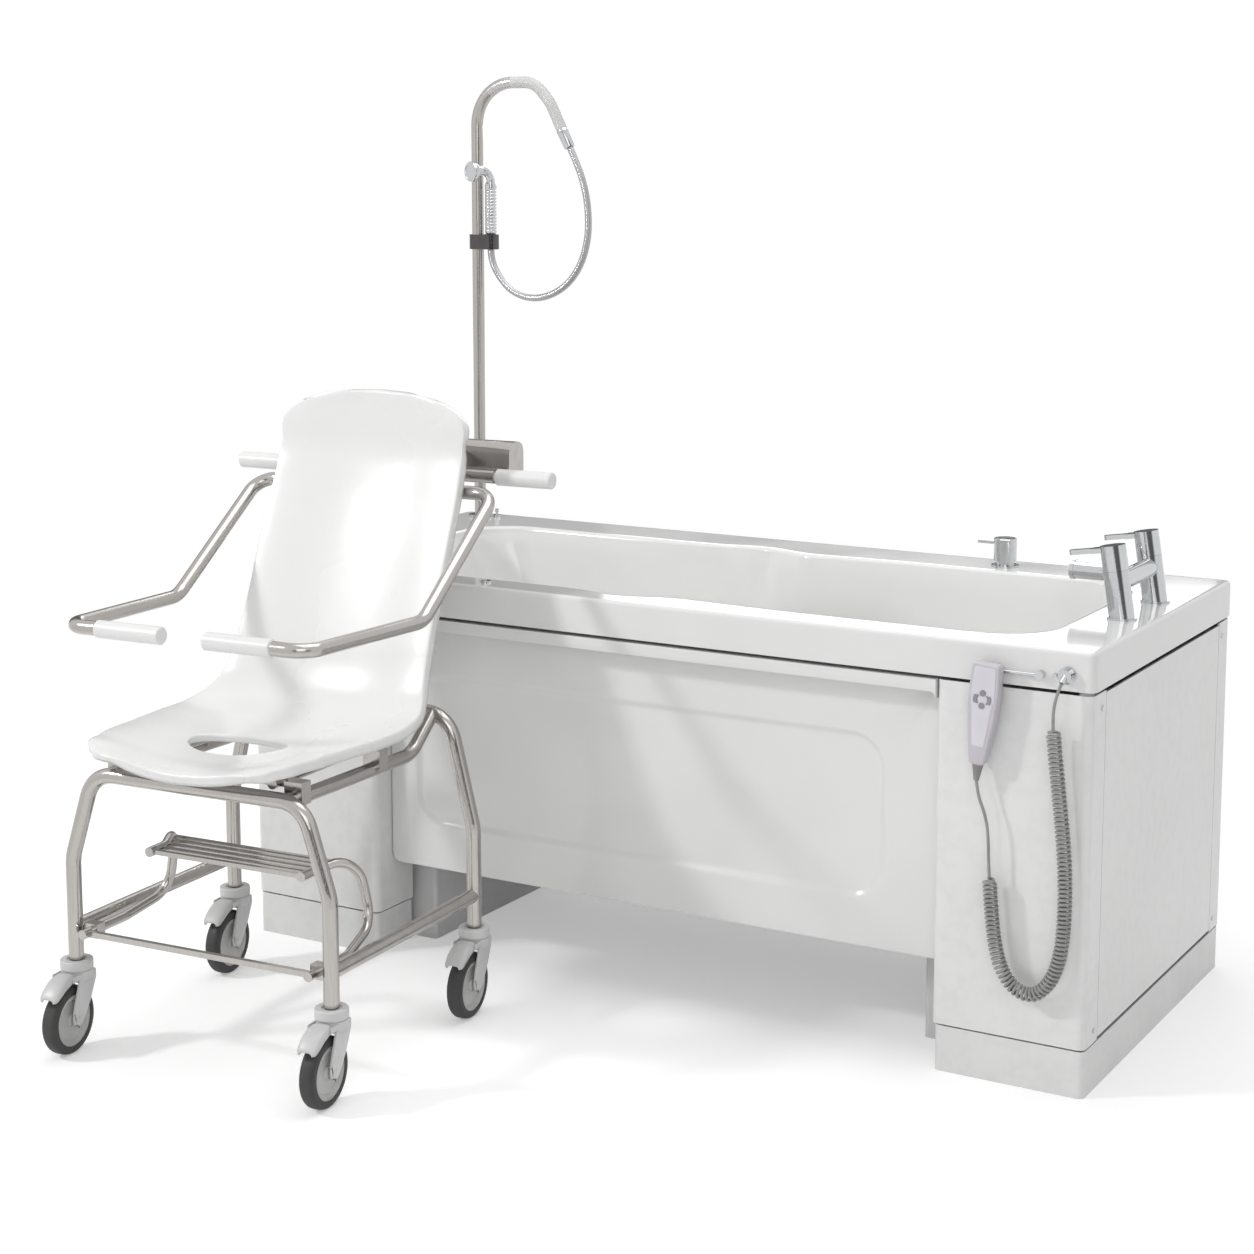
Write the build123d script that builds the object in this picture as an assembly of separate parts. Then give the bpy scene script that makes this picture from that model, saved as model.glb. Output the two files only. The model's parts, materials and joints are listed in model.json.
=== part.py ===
from build123d import *
import os
from math import cos, pi, radians, sin, tan

# Assisted bath that rises on two columns, with its transfer chair.
# Millimetres, +Z up, floor at z = 0, bath length along X, its front towards -Y.
# The bath is drawn about its own centre, the chair about the middle of its four castor stems.
# Both are then moved so that the origin is under the middle of the whole set.

# Bath body
BATH_LENGTH = 1800.0
BATH_WIDTH = 800.0
RIM_TOP = 783.0
RIM_DEPTH = 69.0
CORNER_R = 14.0
RIM_EDGE_R = 8.0
SHELL = 4.0
RIM_GAP = 6.0
FRONT = -BATH_WIDTH / 2
END = BATH_LENGTH / 2
RIM_BOTTOM = RIM_TOP - RIM_DEPTH
COVER_TOP = RIM_BOTTOM - RIM_GAP
DECK_UNDERSIDE = RIM_TOP - SHELL

# Well: the hollow that holds the water
HEAD_DECK = 155.0
FOOT_DECK = 135.0
FRONT_DECK = 85.0
BACK_DECK = 138.0
WELL_LEFT = -END + HEAD_DECK
WELL_RIGHT = END - FOOT_DECK
WELL_FRONT = FRONT + FRONT_DECK
WELL_BACK = -FRONT - BACK_DECK
WAVE_X = -60.0
WAVE_BEFORE = 110.0
WAVE_AFTER = 95.0
WAVE_END = 330.0
WAVE_OUT = 24.0
WAVE_IN = 15.0
WAVE_R = 150.0
WAVE_LEAST = 0.12
WELL_FLOOR = 352.0
WELL_BOTTOM = WELL_FLOOR - SHELL - 1
WELL_CORNER_R = 110.0
WELL_LIP_R = 10.0
WELL_STATIONS = [
    # share of the depth, share of the side slopes
    (0.0, 0.0), (0.15, 0.14), (0.30, 0.30), (0.47, 0.48), (0.62, 0.66), (0.76, 0.83),
    (0.86, 0.96), (0.93, 1.08), (0.97, 1.19), (0.99, 1.30), (1.0, 1.45),
]
HEAD_SLOPE = 190.0
FOOT_SLOPE = 130.0
SIDE_SLOPE = 95.0

# Pedestals, their moving covers and the fixed plinths below them
PEDESTAL_RIGHT = END - 285.0
PEDESTAL_LEFT = -END + 310.0
COVER_BOTTOM = 88.0
PLINTH_GAP = 4.0
COVER_INSET = 3.0
COVER_END = END - COVER_INSET
COVER_TURN = 70.0
INNER_RETURN = 122.0
RETURN_STEP_Z = 505.0
END_PANEL_HALF = -FRONT - COVER_TURN
END_PANEL_BOTTOM = COVER_BOTTOM + 4

SCREW_R = 5.0
SCREW_SIDES = 12
SCREW_RISE = 1.5
SCREW_Y = END_PANEL_HALF + 21
SCREW_Z = (COVER_BOTTOM + 22, COVER_TOP - 28)

# Long side panels with their pressed relief
PANEL_RECESS = 51.0
PANEL_BOTTOM = 185.0
PANEL_CORNER_R = 20.0
PAN_DEPTH = 10.0
PAN_BOTTOM = PANEL_BOTTOM + 42
PAN_TOP = COVER_TOP - 40
PAN_LEFT = PEDESTAL_LEFT + 30
PAN_RIGHT = PEDESTAL_RIGHT - 40
PAN_R = 45.0
FIELD_RISE = 6.0
FIELD_LEFT = PAN_LEFT + 105
FIELD_RIGHT = PAN_RIGHT - 105
FIELD_TOP = PAN_TOP - 78
FIELD_BOTTOM = PAN_BOTTOM + 35
FIELD_R = 75.0

# Lift columns and their shrouds
COLUMN_X = END - 110
COLUMN_OUTER = (90.0, 120.0)
COLUMN_WALL = 4.0
COLUMN_SLIDE = 0.8
FOOT_PLATE_Z = 16.0
FOOT_PLATE_T = 8.0
FOOT_R = 22.0
BEAM_Y = (-FRONT - 100, -FRONT - 60)
COLUMN_OUTER_TOP = 450.0
COLUMN_INNER_TOP = 560.0
COLUMN_INNER_BOTTOM = 40.0
SHROUD_LENGTH = 316.0
SHROUD_OUTER_X = END - 40
SHROUD_INNER_X = SHROUD_OUTER_X - SHROUD_LENGTH
SHROUD_HALF_Y = -FRONT - 140
SHROUD_WALL = 3.0
SHROUD_CLEAR = 2.0
SHROUD_R = 8.0
SHROUD_TOP = 338.0
UPPER_SHROUD_BOTTOM = 30.0

# Frame that carries the tub
FRAME_TUBE = 40.0
FRAME_TOP = COLUMN_INNER_TOP
POST = 25.0
CRADLE_X = 350.0

# Taps
PILLAR_X = END - 61
PILLAR_NEAR_Y = -85.0
PILLAR_FAR_Y = 105.0
PILLAR_R = 23.0
PILLAR_LEAN = 9.0
PILLAR_BODY = 88.0
LEVER_CAP = 46.0
SPINDLE_R = 6.0
RUNNING = 0.06
SEAM = 0.3
SPOUT_R = 17.0
SPOUT_REACH = PILLAR_X - 130
CROSS_R = 18.0
CROSS_Z = RIM_TOP + 65
DIVERTER_X = END - 442
DIVERTER_Y = -FRONT - 78
DIVERTER_R = 23.0

# Shower pole, hose and hand shower
POLE_X = -END + 71
POLE_Y = -FRONT - 58
POLE_R = 13.0
POLE_BEND_Z = 1672.0
POLE_BEND_R = 95.0
CONDUIT_R = 12.0
CONNECTOR_R = 13.0
HOSE_R = 8.0
HAND_X = POLE_X + 35.0
HAND_R = 13.5
CLAMP_BOTTOM = 1396.0
CLAMP_TOP = CLAMP_BOTTOM + 33
HANDLE_LENGTH = 117.0
HAND_TOP = CLAMP_TOP + HANDLE_LENGTH
HEAD_R = 23.0

# Handset and its cord
HANDSET_X = END - 180
HANDSET_TOP = RIM_TOP - 30
HANDSET_LENGTH = 178.0
HANDSET_WIDTH = 54.0
HANDSET_BACK = FRONT - 14
HANDSET_DEPTH = 24.0
HANDSET_LEAN = 5.0
HANGER_X = END - 95
HANGER_Z = RIM_TOP - 45
HANGER_PIN_R = 3.0
HANGER_PIN_Y = FRONT - 9.5
GLAND_X = END - 48
GLAND_Z = RIM_TOP - 41
CORD_R = 2.75
CORD_SIDES = 6
THICK_CORD_SIDES = 10
COIL_R = 13.0

# Transfer chair, in its own frame: X across, front towards -Y
CHAIR_X = -504.8
CHAIR_Y = -821.8
CHAIR_TURN = 3.4
TUBE_R = 14.0
LEG_HALF_X = 276.0
LEG_HALF_Y = 240.0
LEG_BOTTOM = 168.0
LEG_KINK_Z = 357.0
FRONT_BAR_Z = 518.0
REAR_BAR_Z = 571.0
BAR_HALF = LEG_HALF_X - 52
LEG_BEND_R = 62.0
KINK_R = 80.0
RAIL_X = LEG_HALF_X - 86
RAIL_R = 13.0
SADDLE_Y = (-205.0, 40.0)
LOWER_RAIL_Z = 228.0
LOWER_RAIL_R = 13.0

# Castors
WHEEL_R = 62.5
WHEEL_W = 30.0
HUB_R = 47.0
CASTOR_TRAIL = 30.0
CASTOR_TURN = 3.0
STEM_R = 7.0
AXLE_R = 5.0
COLLAR_R = 30.0
COLLAR_DEPTH = 18.0
HOUSING_DEPTH = 19.0
TYRE_BEVEL = 6.0
FORK_INNER = 18.0
FORK_WALL = 5.0
PEDAL_HALF = 21.0
PEDAL_PIVOT_Y = -37.0
PEDAL_PIVOT_Z = 142.0
PEDAL_PIN_R = 2.0

# Seat unit
ARM_X = LEG_HALF_X - 8
ARM_PIVOT_Y = 343.0
ARM_PIVOT_Z = 976.0
GRIP_R = 16.0
GRIP_BEVEL = 2.5
BAR_Y = 409.0
BAR_Z = 999.0
SEAT_RAIL_X = RAIL_X - 40
SEAT_RAIL_Z = 540.0
SEAT_RAIL_R = 10.0
SEAT_RAIL_FRONT = TUBE_R + 2 - LEG_HALF_Y
BACK_FOOT_Y = 176.0
BACK_TOP_Y = 370.0
BACK_TOP_Z = 1010.0
BACK_PAD_Z = (700.0, 900.0)
SADDLE_BOTTOM = FRONT_BAR_Z - 12
ARM_PIN_R = 8.0
ARM_REST_Z = 787.0
ARM_FRONT_Y = -262.0
ARM_GRIP_X = (46.0, 186.0)
BAR_REACH = ARM_X - 36
PUSH_GRIP_LENGTH = 121.0
CHANNEL_HALF = SEAT_RAIL_X + 100
CHANNEL_Y = (BAR_Y + 21, BAR_Y + 77)
CHANNEL_Z = (BAR_Z + 5, BAR_Z + 63)
SHEET_T = 5.0


def block(x0, x1, y0, y1, z0, z1):
    """A block between six named planes."""
    return Pos((x0 + x1) / 2, (y0 + y1) / 2, (z0 + z1) / 2) * Box(x1 - x0, y1 - y0, z1 - z0)


def pillar(x0, x1, y0, y1, z0, z1, r):
    """A block with rounded vertical corners."""
    if r == 0:
        return block(x0, x1, y0, y1, z0, z1)
    outline = Pos((x0 + x1) / 2, (y0 + y1) / 2, z0) * RectangleRounded(x1 - x0, y1 - y0, r)
    return extrude(outline, amount=z1 - z0)


def ring(x0, x1, y0, y1, z0, z1, wall, r):
    """A rectangular tube standing upright."""
    inner = block(x0 + wall, x1 - wall, y0 + wall, y1 - wall, z0 - 1, z1 + 1)
    if r > wall:
        inner = pillar(x0 + wall, x1 - wall, y0 + wall, y1 - wall, z0 - 1, z1 + 1, r - wall)
    return pillar(x0, x1, y0, y1, z0, z1, r) - inner


def bar(a, b, r):
    """A round bar from point a to point b."""
    along = Vector(*b) - Vector(*a)
    return Solid.make_cylinder(r, along.length, Plane(origin=a, z_dir=along))


def bent(points, radii, r):
    """A round tube through the points, with the given bend radii."""
    line = FilletPolyline(*points, radius=radii)
    start = Plane(origin=line @ 0, z_dir=line % 0)
    return sweep(start * Circle(r), path=line)


def mirror_x(shape):
    return mirror(shape, about=Plane.YZ)


def mirror_y(shape):
    return mirror(shape, about=Plane.XZ)


def group(*shapes):
    """Separate solids that share one node."""
    return Compound(children=[s for shape in shapes for s in shape.solids()])


# Bath: fixed parts on the floor

def base_frame():
    """Two foot plates on six-sided levelling feet, joined by a low beam at the back."""
    z0, z1 = FOOT_PLATE_Z, FOOT_PLATE_Z + FOOT_PLATE_T
    half = -FRONT - 8
    plate = pillar(END - 200, END - 8, -half, half, z0, z1, 10)
    foot = RegularPolygon(FOOT_R, 6)
    feet = [extrude(Pos(x, y) * foot, amount=z0) for x in (END - 170, END - 38) for y in (-half + 62, half - 62)]
    side = plate + feet
    beam = block(180 - END, END - 180, *BEAM_Y, z0, z0 + FRAME_TUBE)
    return side + mirror_x(side) + beam


def plinths():
    """Fixed skirts under the pedestals, open towards the middle of the bath."""
    top = COVER_BOTTOM - PLINTH_GAP
    back_return = -FRONT - INNER_RETURN

    def skirt(inner, outer):
        sides = sorted((inner, outer))
        wall = ring(sides[0], sides[1], FRONT + 4, -FRONT - 4, 0, top, SHELL, CORNER_R - 2)
        lip = SHELL + 1
        mouth = block(inner - lip, inner + lip, -back_return, back_return, -1, top + 1)
        notch = block(
            inner - lip, inner + lip, BEAM_Y[0] - 2, BEAM_Y[1] + 2,
            -1, FOOT_PLATE_Z + FRAME_TUBE + 2,
        )
        return wall - mouth - notch

    right = skirt(PEDESTAL_RIGHT + 4, END - 4)
    left = skirt(PEDESTAL_LEFT - 4, -END + 4)
    return group(right, left)


def shroud_pair(grow, z0, z1):
    """The box round each column, smaller by grow on every side."""
    one = ring(
        SHROUD_INNER_X + grow, SHROUD_OUTER_X - grow,
        -SHROUD_HALF_Y + grow, SHROUD_HALF_Y - grow,
        z0, z1, SHROUD_WALL, SHROUD_R - grow,
    )
    return one, mirror_x(one)


def lower_shrouds(frame):
    right, left = shroud_pair(0.0, 0.0, SHROUD_TOP)
    return group(right - frame, left - frame)


def upper_shrouds():
    right, left = shroud_pair(SHROUD_WALL + SHROUD_CLEAR, UPPER_SHROUD_BOTTOM, WELL_BOTTOM)
    return group(right, left)


def column_tube(width, depth, z0, z1):
    one = ring(
        COLUMN_X - width / 2, COLUMN_X + width / 2, -depth / 2, depth / 2,
        z0, z1, COLUMN_WALL, 0,
    )
    return one, mirror_x(one)


def column_outers():
    width, depth = COLUMN_OUTER
    return group(*column_tube(width, depth, FOOT_PLATE_Z + FOOT_PLATE_T, COLUMN_OUTER_TOP))


def column_inners():
    shrink = 2 * (COLUMN_WALL + COLUMN_SLIDE)
    width, depth = COLUMN_OUTER
    return group(*column_tube(width - shrink, depth - shrink, COLUMN_INNER_BOTTOM, COLUMN_INNER_TOP))


def lift_actuators():
    """Gearbox and motor at the foot of each column, and the control box."""
    z0 = FOOT_PLATE_Z + FOOT_PLATE_T
    face = COLUMN_X - COLUMN_OUTER[0] / 2
    gearbox = block(face - 80, face, -45, 45, z0, z0 + 80)
    motor = bar((face - 40, 45, z0 + 40), (face - 40, 175, z0 + 40), 32)
    drive = gearbox + motor
    control = block(COLUMN_X - 80, COLUMN_X + 60, -215, -95, z0, z0 + 60)
    return group(drive, mirror_x(drive), control)


# Bath: parts that rise

def well_outline(grow, drop, z):
    """The well's outline at height z, drawn in by drop (0 at the rim, 1 at the floor)."""
    head = WELL_LEFT + HEAD_SLOPE * drop - grow
    foot = WELL_RIGHT - FOOT_SLOPE * drop + grow
    front = WELL_FRONT + SIDE_SLOPE * drop - grow
    back = WELL_BACK - SIDE_SLOPE * drop * 0.6 + grow
    fade = max(1 - drop, WAVE_LEAST)
    out, draw = WAVE_OUT * fade, WAVE_IN * fade
    near = [
        (head, front), (WAVE_X - WAVE_BEFORE, front), (WAVE_X, front - out),
        (WAVE_X + WAVE_AFTER, front + draw), (WAVE_X + WAVE_END, front), (foot, front),
    ]
    far = [
        (foot, back), (WAVE_X + WAVE_END, back), (WAVE_X + WAVE_AFTER, back - draw),
        (WAVE_X, back + out), (WAVE_X - WAVE_BEFORE, back), (head, back),
    ]
    outline = make_face(Polyline(*near, *far, close=True))
    outline = fillet([v for v in outline.vertices() if min(abs(v.X - head), abs(v.X - foot)) > 1], WAVE_R)
    ends = [v for v in outline.vertices() if min(abs(v.X - head), abs(v.X - foot)) < 1]
    outline = fillet(ends, WELL_CORNER_R - 15 * drop + grow)
    return Pos(0, 0, z) * outline


def well_solid(grow):
    """The well as one solid: grow is 0 for the water side and the shell's wall for the outside."""
    depth = RIM_TOP - WELL_FLOOR
    lift = 0.0 if grow == 0 else WELL_BOTTOM - WELL_FLOOR
    sections = [well_outline(grow, drop, RIM_TOP - depth * down + lift * down) for down, drop in WELL_STATIONS]
    return loft(sections, ruled=True)


def tub():
    rim = pillar(-END, END, FRONT, -FRONT, RIM_BOTTOM, RIM_TOP, CORNER_R)
    rim = fillet(rim.faces().sort_by(Axis.Z)[-1].edges(), RIM_EDGE_R)
    hollow = pillar(
        -END + SHELL, END - SHELL, FRONT + SHELL, -FRONT - SHELL,
        RIM_BOTTOM - 1, DECK_UNDERSIDE, CORNER_R - SHELL,
    )
    shell = rim - hollow + well_solid(SHELL + 1)
    shell -= well_solid(0.0)
    top = shell.faces().filter_by(Axis.Z).sort_by(Axis.Z)[-1]
    return fillet(top.inner_wires()[0].edges(), WELL_LIP_R)


def side_panels():
    """Front and rear panels: a sheet with a pressed pan and a raised field in it."""
    face = FRONT + PANEL_RECESS
    x0, x1 = PEDESTAL_LEFT + 2, PEDESTAL_RIGHT - 2

    def plate(left, right, bottom, top, r, front, back):
        outline = Pos((left + right) / 2, (bottom + top) / 2) * RectangleRounded(right - left, top - bottom, r)
        return extrude(Plane.XZ.offset(-back) * outline, amount=back - front)

    def tray(left, right, bottom, top, r, body, hole):
        """The metal of a pressed tray and the hollow that it leaves, each between two depths."""
        return (
            plate(left - SHELL, right + SHELL, bottom - SHELL, top + SHELL, r + SHELL, *body),
            plate(left, right, bottom, top, r, *hole),
        )

    sheet = plate(x0, x1, PANEL_BOTTOM, COVER_TOP, PANEL_CORNER_R, face, face + SHELL)
    pan = (PAN_LEFT, PAN_RIGHT, PAN_BOTTOM, PAN_TOP, PAN_R)
    field = (FIELD_LEFT, FIELD_RIGHT, FIELD_BOTTOM, FIELD_TOP, FIELD_R)
    pan_face = face + PAN_DEPTH
    field_face = pan_face - FIELD_RISE
    outer, hole = tray(*pan, (face, pan_face + SHELL), (face - 1, pan_face))
    panel = sheet + outer - hole
    inner_face = pan_face + SHELL
    outer, hole = tray(*field, (field_face, inner_face), (field_face + SHELL, inner_face + 1))
    front = panel + outer - hole
    return group(front, mirror_y(front))


def pedestal_covers():
    """Front and rear corner covers of each pedestal, wrapped round to the end panels."""
    reach = -FRONT - INNER_RETURN
    high_reach = -FRONT - PANEL_RECESS - PAN_DEPTH

    def corner_pair(inner, outer):
        sides = sorted((inner, outer))
        wall = ring(sides[0], sides[1], FRONT, -FRONT, COVER_BOTTOM, COVER_TOP, SHELL, CORNER_R)
        cut = SHELL + 2
        wall -= block(inner - cut, inner + cut, -reach, reach, COVER_BOTTOM - 1, COVER_TOP + 1)
        wall -= block(inner - cut, inner + cut, -high_reach, high_reach, RETURN_STEP_Z, COVER_TOP + 1)
        wall -= block(
            outer - cut, outer + cut, -END_PANEL_HALF - 2, END_PANEL_HALF + 2,
            COVER_BOTTOM - 1, COVER_TOP + 1,
        )
        return wall

    return group(corner_pair(PEDESTAL_RIGHT, COVER_END), corner_pair(PEDESTAL_LEFT, -COVER_END))


def end_panels():
    """Flat end panels, each held by screws."""
    one = block(
        COVER_END - SHELL, COVER_END, -END_PANEL_HALF, END_PANEL_HALF,
        END_PANEL_BOTTOM, COVER_TOP - 4,
    )
    one = fillet(one.edges().filter_by(Axis.X), 4)
    return group(one, mirror_x(one))


def panel_screws():
    """Round screw heads on the end panels."""
    head = RegularPolygon(SCREW_R, SCREW_SIDES)
    face = Plane.YZ.offset(COVER_END)
    heads = [
        extrude(face * Pos(y, z) * head, amount=SCREW_RISE)
        for y in (-SCREW_Y, SCREW_Y) for z in SCREW_Z
    ]
    return group(*heads, *[mirror_x(h) for h in heads])


def lift_frame():
    """Frame of square tube: long rails, corner posts up to the rim, cross heads and a cradle."""
    rail_face = FRONT + PANEL_RECESS + PAN_DEPTH + SHELL
    inside = COVER_END - SHELL
    post_face = inside - POST
    post_y = -FRONT - SHELL
    z0, z1 = FRAME_TOP - FRAME_TUBE, FRAME_TOP
    rail = block(-post_face, post_face, rail_face, rail_face + FRAME_TUBE, z0, z1)
    lower = 120
    shroud_face = SHROUD_OUTER_X - SHROUD_WALL - SHROUD_CLEAR
    bars = [(lower, lower + POST), (z0, z1), (640, 640 + POST)]
    end = [block(post_face, inside, -post_y + POST, post_y - POST, *heights) for heights in bars]
    end += [
        pillar(post_face, inside, y - POST / 2, y + POST / 2, COVER_BOTTOM + 8, DECK_UNDERSIDE, CORNER_R - SHELL)
        for y in (post_y - POST / 2, -post_y + POST / 2)
    ]
    end.append(block(post_face, inside, -POST / 2, POST / 2, lower + POST, z0))
    end.append(block(shroud_face, post_face, -60, 60, SHROUD_TOP + 2, WELL_BOTTOM))
    end.append(block(COLUMN_X - 45, post_face, rail_face, -rail_face, z1, z1 + 8))
    cradle = []
    for x in (-CRADLE_X, CRADLE_X):
        hanger = block(x - 10, x + 10, -rail_face - FRAME_TUBE - 20, -rail_face - FRAME_TUBE, WELL_BOTTOM, z1)
        cross = block(x - 10, x + 10, rail_face + FRAME_TUBE, -rail_face - FRAME_TUBE, WELL_BOTTOM - 22, WELL_BOTTOM)
        strut = block(x - 30, x + 30, rail_face, rail_face + 11, z1, DECK_UNDERSIDE)
        cradle += [hanger, mirror_y(hanger), cross, strut, mirror_y(strut)]
    return group(rail, mirror_y(rail), *end, *[mirror_x(e) for e in end], *cradle)


CLIP_X = -END + 110
CLIP_Y = -FRONT - 48
PLUG_X = WELL_LEFT + 394
PLUG_Y = FRONT + 42
DRAIN_X = WELL_RIGHT - 295


def tub_fittings():
    """Waste with its grating, a blanking plug, a small clip and the diverter's fixed foot."""
    drain_y = (WELL_FRONT + WELL_BACK) / 2
    flange = Pos(DRAIN_X, drain_y, WELL_FLOOR + 1.0) * Cylinder(35, 2)
    slots = [Pos(DRAIN_X + dx, drain_y, WELL_FLOOR) * Box(4, 34, 8) for dx in (-12, 0, 12)]
    waste = flange - slots
    plug = Pos(PLUG_X, PLUG_Y, RIM_TOP + 2) * Cylinder(11, 4)
    clip = Pos(CLIP_X, CLIP_Y, RIM_TOP + 3) * Cylinder(8, 6)
    clip += Pos(CLIP_X, CLIP_Y, RIM_TOP + 9) * Cylinder(3, 6)
    clip += Pos(CLIP_X, CLIP_Y, RIM_TOP + 15.5) * Cylinder(4.5, 7)
    return group(waste, plug, clip, diverter_body())


# Taps

def pillar_plane(y, height):
    """A plane across a leaning tap pillar, at that height up its axis."""
    lean = radians(PILLAR_LEAN)
    axis = Vector(-sin(lean), 0, cos(lean))
    foot = Vector(PILLAR_X, y, RIM_TOP)
    return Plane(origin=foot + axis * height, x_dir=(cos(lean), 0, sin(lean)), z_dir=axis)


def mixer_body():
    """Two leaning pillars, the cross body between them and the spout."""
    above = block(PILLAR_X - 200, PILLAR_X + 200, -200, 200, RIM_TOP, RIM_TOP + 200)
    body = None
    for y in (PILLAR_NEAR_Y, PILLAR_FAR_Y):
        column = extrude(pillar_plane(y, -10) * Circle(PILLAR_R), amount=PILLAR_BODY + 10) & above
        foot = Pos(PILLAR_X, y, RIM_TOP + 2) * Cylinder(PILLAR_R + 4, 4)
        spindle = extrude(pillar_plane(y, PILLAR_BODY - 5) * Circle(SPINDLE_R), amount=35)
        piece = column + foot + spindle
        body = piece if body is None else body + piece
    middle = (PILLAR_NEAR_Y + PILLAR_FAR_Y) / 2
    cross_x = PILLAR_X - (CROSS_Z - RIM_TOP) * tan(radians(PILLAR_LEAN))
    body += bar((cross_x, PILLAR_NEAR_Y, CROSS_Z), (cross_x, PILLAR_FAR_Y, CROSS_Z), CROSS_R)
    spout = bar((cross_x, middle, CROSS_Z), (SPOUT_REACH, middle, CROSS_Z), SPOUT_R)
    lip = bar((SPOUT_REACH + 8, middle, CROSS_Z), (SPOUT_REACH, middle, CROSS_Z), SPOUT_R + 1.5)
    body += spout + lip
    mouth = bar((SPOUT_REACH + 14, middle, CROSS_Z), (SPOUT_REACH - 1, middle, CROSS_Z), SPOUT_R - 4)
    return body - mouth


def tap_lever(y):
    """The turning cap of one pillar, with its flat lever towards the well."""
    base = pillar_plane(y, PILLAR_BODY + SEAM)
    cap = extrude(base * Circle(PILLAR_R), amount=LEVER_CAP)
    cap -= extrude(base * Circle(SPINDLE_R + RUNNING), amount=31)
    blade = base.offset(LEVER_CAP - 12) * Pos(-50, 0) * SlotOverall(64, 14)
    root = base.offset(LEVER_CAP - 12) * Pos(-24, 0) * Rectangle(30, 26)
    return cap + extrude(blade, amount=9) + extrude(root, amount=9)


def diverter_body():
    flange = Pos(DIVERTER_X, DIVERTER_Y, RIM_TOP + 2) * Cylinder(DIVERTER_R + 5, 4)
    neck = Pos(DIVERTER_X, DIVERTER_Y, RIM_TOP + 8) * Cylinder(DIVERTER_R - 5, 8)
    spindle = Pos(DIVERTER_X, DIVERTER_Y, RIM_TOP + 24) * Cylinder(SPINDLE_R, 28)
    return flange + neck + spindle


def diverter_knob():
    z0 = RIM_TOP + 12 + SEAM
    knob = Pos(DIVERTER_X, DIVERTER_Y, z0 + 23) * Cylinder(DIVERTER_R, 46)
    knob = chamfer(knob.faces().sort_by(Axis.Z)[-1].edges(), 1.5)
    knob -= Pos(DIVERTER_X, DIVERTER_Y, z0 + 14) * Cylinder(SPINDLE_R + RUNNING, 28)
    pin = bar((DIVERTER_X - 15, DIVERTER_Y, z0 + 36), (DIVERTER_X - 58, DIVERTER_Y, z0 + 36), 4.5)
    return knob + pin


# Shower

POLE_TOP = POLE_BEND_Z + POLE_BEND_R
CONDUIT_POINTS = [
    (POLE_X + POLE_BEND_R, POLE_Y, POLE_TOP), (POLE_X + 153, POLE_Y, POLE_TOP),
    (POLE_X + 195, POLE_Y, POLE_TOP - 45), (POLE_X + 225, POLE_Y, POLE_TOP - 105),
]
CONNECTOR_END = (POLE_X + 245.4, POLE_Y, POLE_TOP - 144)
CONNECTOR_WAY = (Vector(*CONNECTOR_END) - Vector(*CONDUIT_POINTS[-1])).normalized()
HOSE_POINTS = [
    tuple(Vector(*CONNECTOR_END) + CONNECTOR_WAY * SEAM),
    tuple(Vector(*CONNECTOR_END) + CONNECTOR_WAY * 48.5),
    (-543, POLE_Y, 1526), (-536, POLE_Y, 1470),
    (-539, POLE_Y, 1418), (-556, POLE_Y, 1366), (-590, POLE_Y, 1322), (-637, POLE_Y, 1295),
    (-688, POLE_Y, 1287), (-738, POLE_Y, 1301), (-774, POLE_Y, 1336), (HAND_X, POLE_Y, 1374),
    (HAND_X, POLE_Y, CLAMP_BOTTOM),
]


def shower_pole():
    """Stainless pole on its round foot flange, and the quarter bend that sits on its top."""
    shoulder = (POLE_X, POLE_Y, POLE_BEND_Z)
    foot = Pos(POLE_X, POLE_Y, RIM_TOP + 3) * Cylinder(POLE_R + 14, 6)
    foot = chamfer(foot.faces().sort_by(Axis.Z)[-1].edges(), 1.5)
    pole = bar((POLE_X, POLE_Y, RIM_TOP + 2), shoulder, POLE_R)
    bend = bent([shoulder, (POLE_X, POLE_Y, POLE_TOP), CONDUIT_POINTS[0]], POLE_BEND_R - 1, POLE_R)
    return group(pole + foot, bend)


def cord_radii(points):
    """Each bend as large as its two runs allow."""
    vectors = [Vector(*p) for p in points]
    radii = []
    for a, b, c in zip(vectors, vectors[1:], vectors[2:]):
        turn = radians((b - a).get_angle(c - b))
        shorter = min((b - a).length, (c - b).length)
        radii.append(0.45 * shorter / tan(turn / 2))
    return radii


def cord_tube(name, points, r, sides=CORD_SIDES):
    """A cord's many-sided tube. Its length and least bend are printed."""
    radii = cord_radii(points)
    line = FilletPolyline(*points, radius=radii)
    section = Plane(origin=line @ 0, z_dir=line % 0) * RegularPolygon(r, sides)
    tube = sweep(section, path=line)
    share = tube.volume / (section.area * line.length)
    print(name, "length", round(line.length, 1), "least radius", round(min(radii), 1))
    print(name, "volume over section times length", round(share, 3))
    return tube


def pole_conduit():
    """Stiff ribbed conduit that carries on from the pole, and its end connector."""
    conduit = cord_tube("conduit", CONDUIT_POINTS, CONDUIT_R, THICK_CORD_SIDES)
    return group(conduit, bar(CONDUIT_POINTS[-1], CONNECTOR_END, CONNECTOR_R))


def shower_hose():
    return cord_tube("shower_hose", HOSE_POINTS, HOSE_R, THICK_CORD_SIDES)


def shower_slider():
    """Clamp that slides on the pole and holds the hand shower's tail."""
    z0, z1 = CLAMP_BOTTOM, CLAMP_TOP
    body = pillar(POLE_X - POLE_R - 5, HAND_X + HAND_R + 3, POLE_Y - 18, POLE_Y + 18, z0, z1, 15)
    body -= Pos(POLE_X, POLE_Y, (z0 + z1) / 2) * Cylinder(POLE_R + RUNNING, z1 - z0 + 2)
    body -= Pos(HAND_X, POLE_Y, (z0 + z1) / 2) * Cylinder(HOSE_R + 1 + RUNNING, z1 - z0 + 2)
    return body


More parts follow.
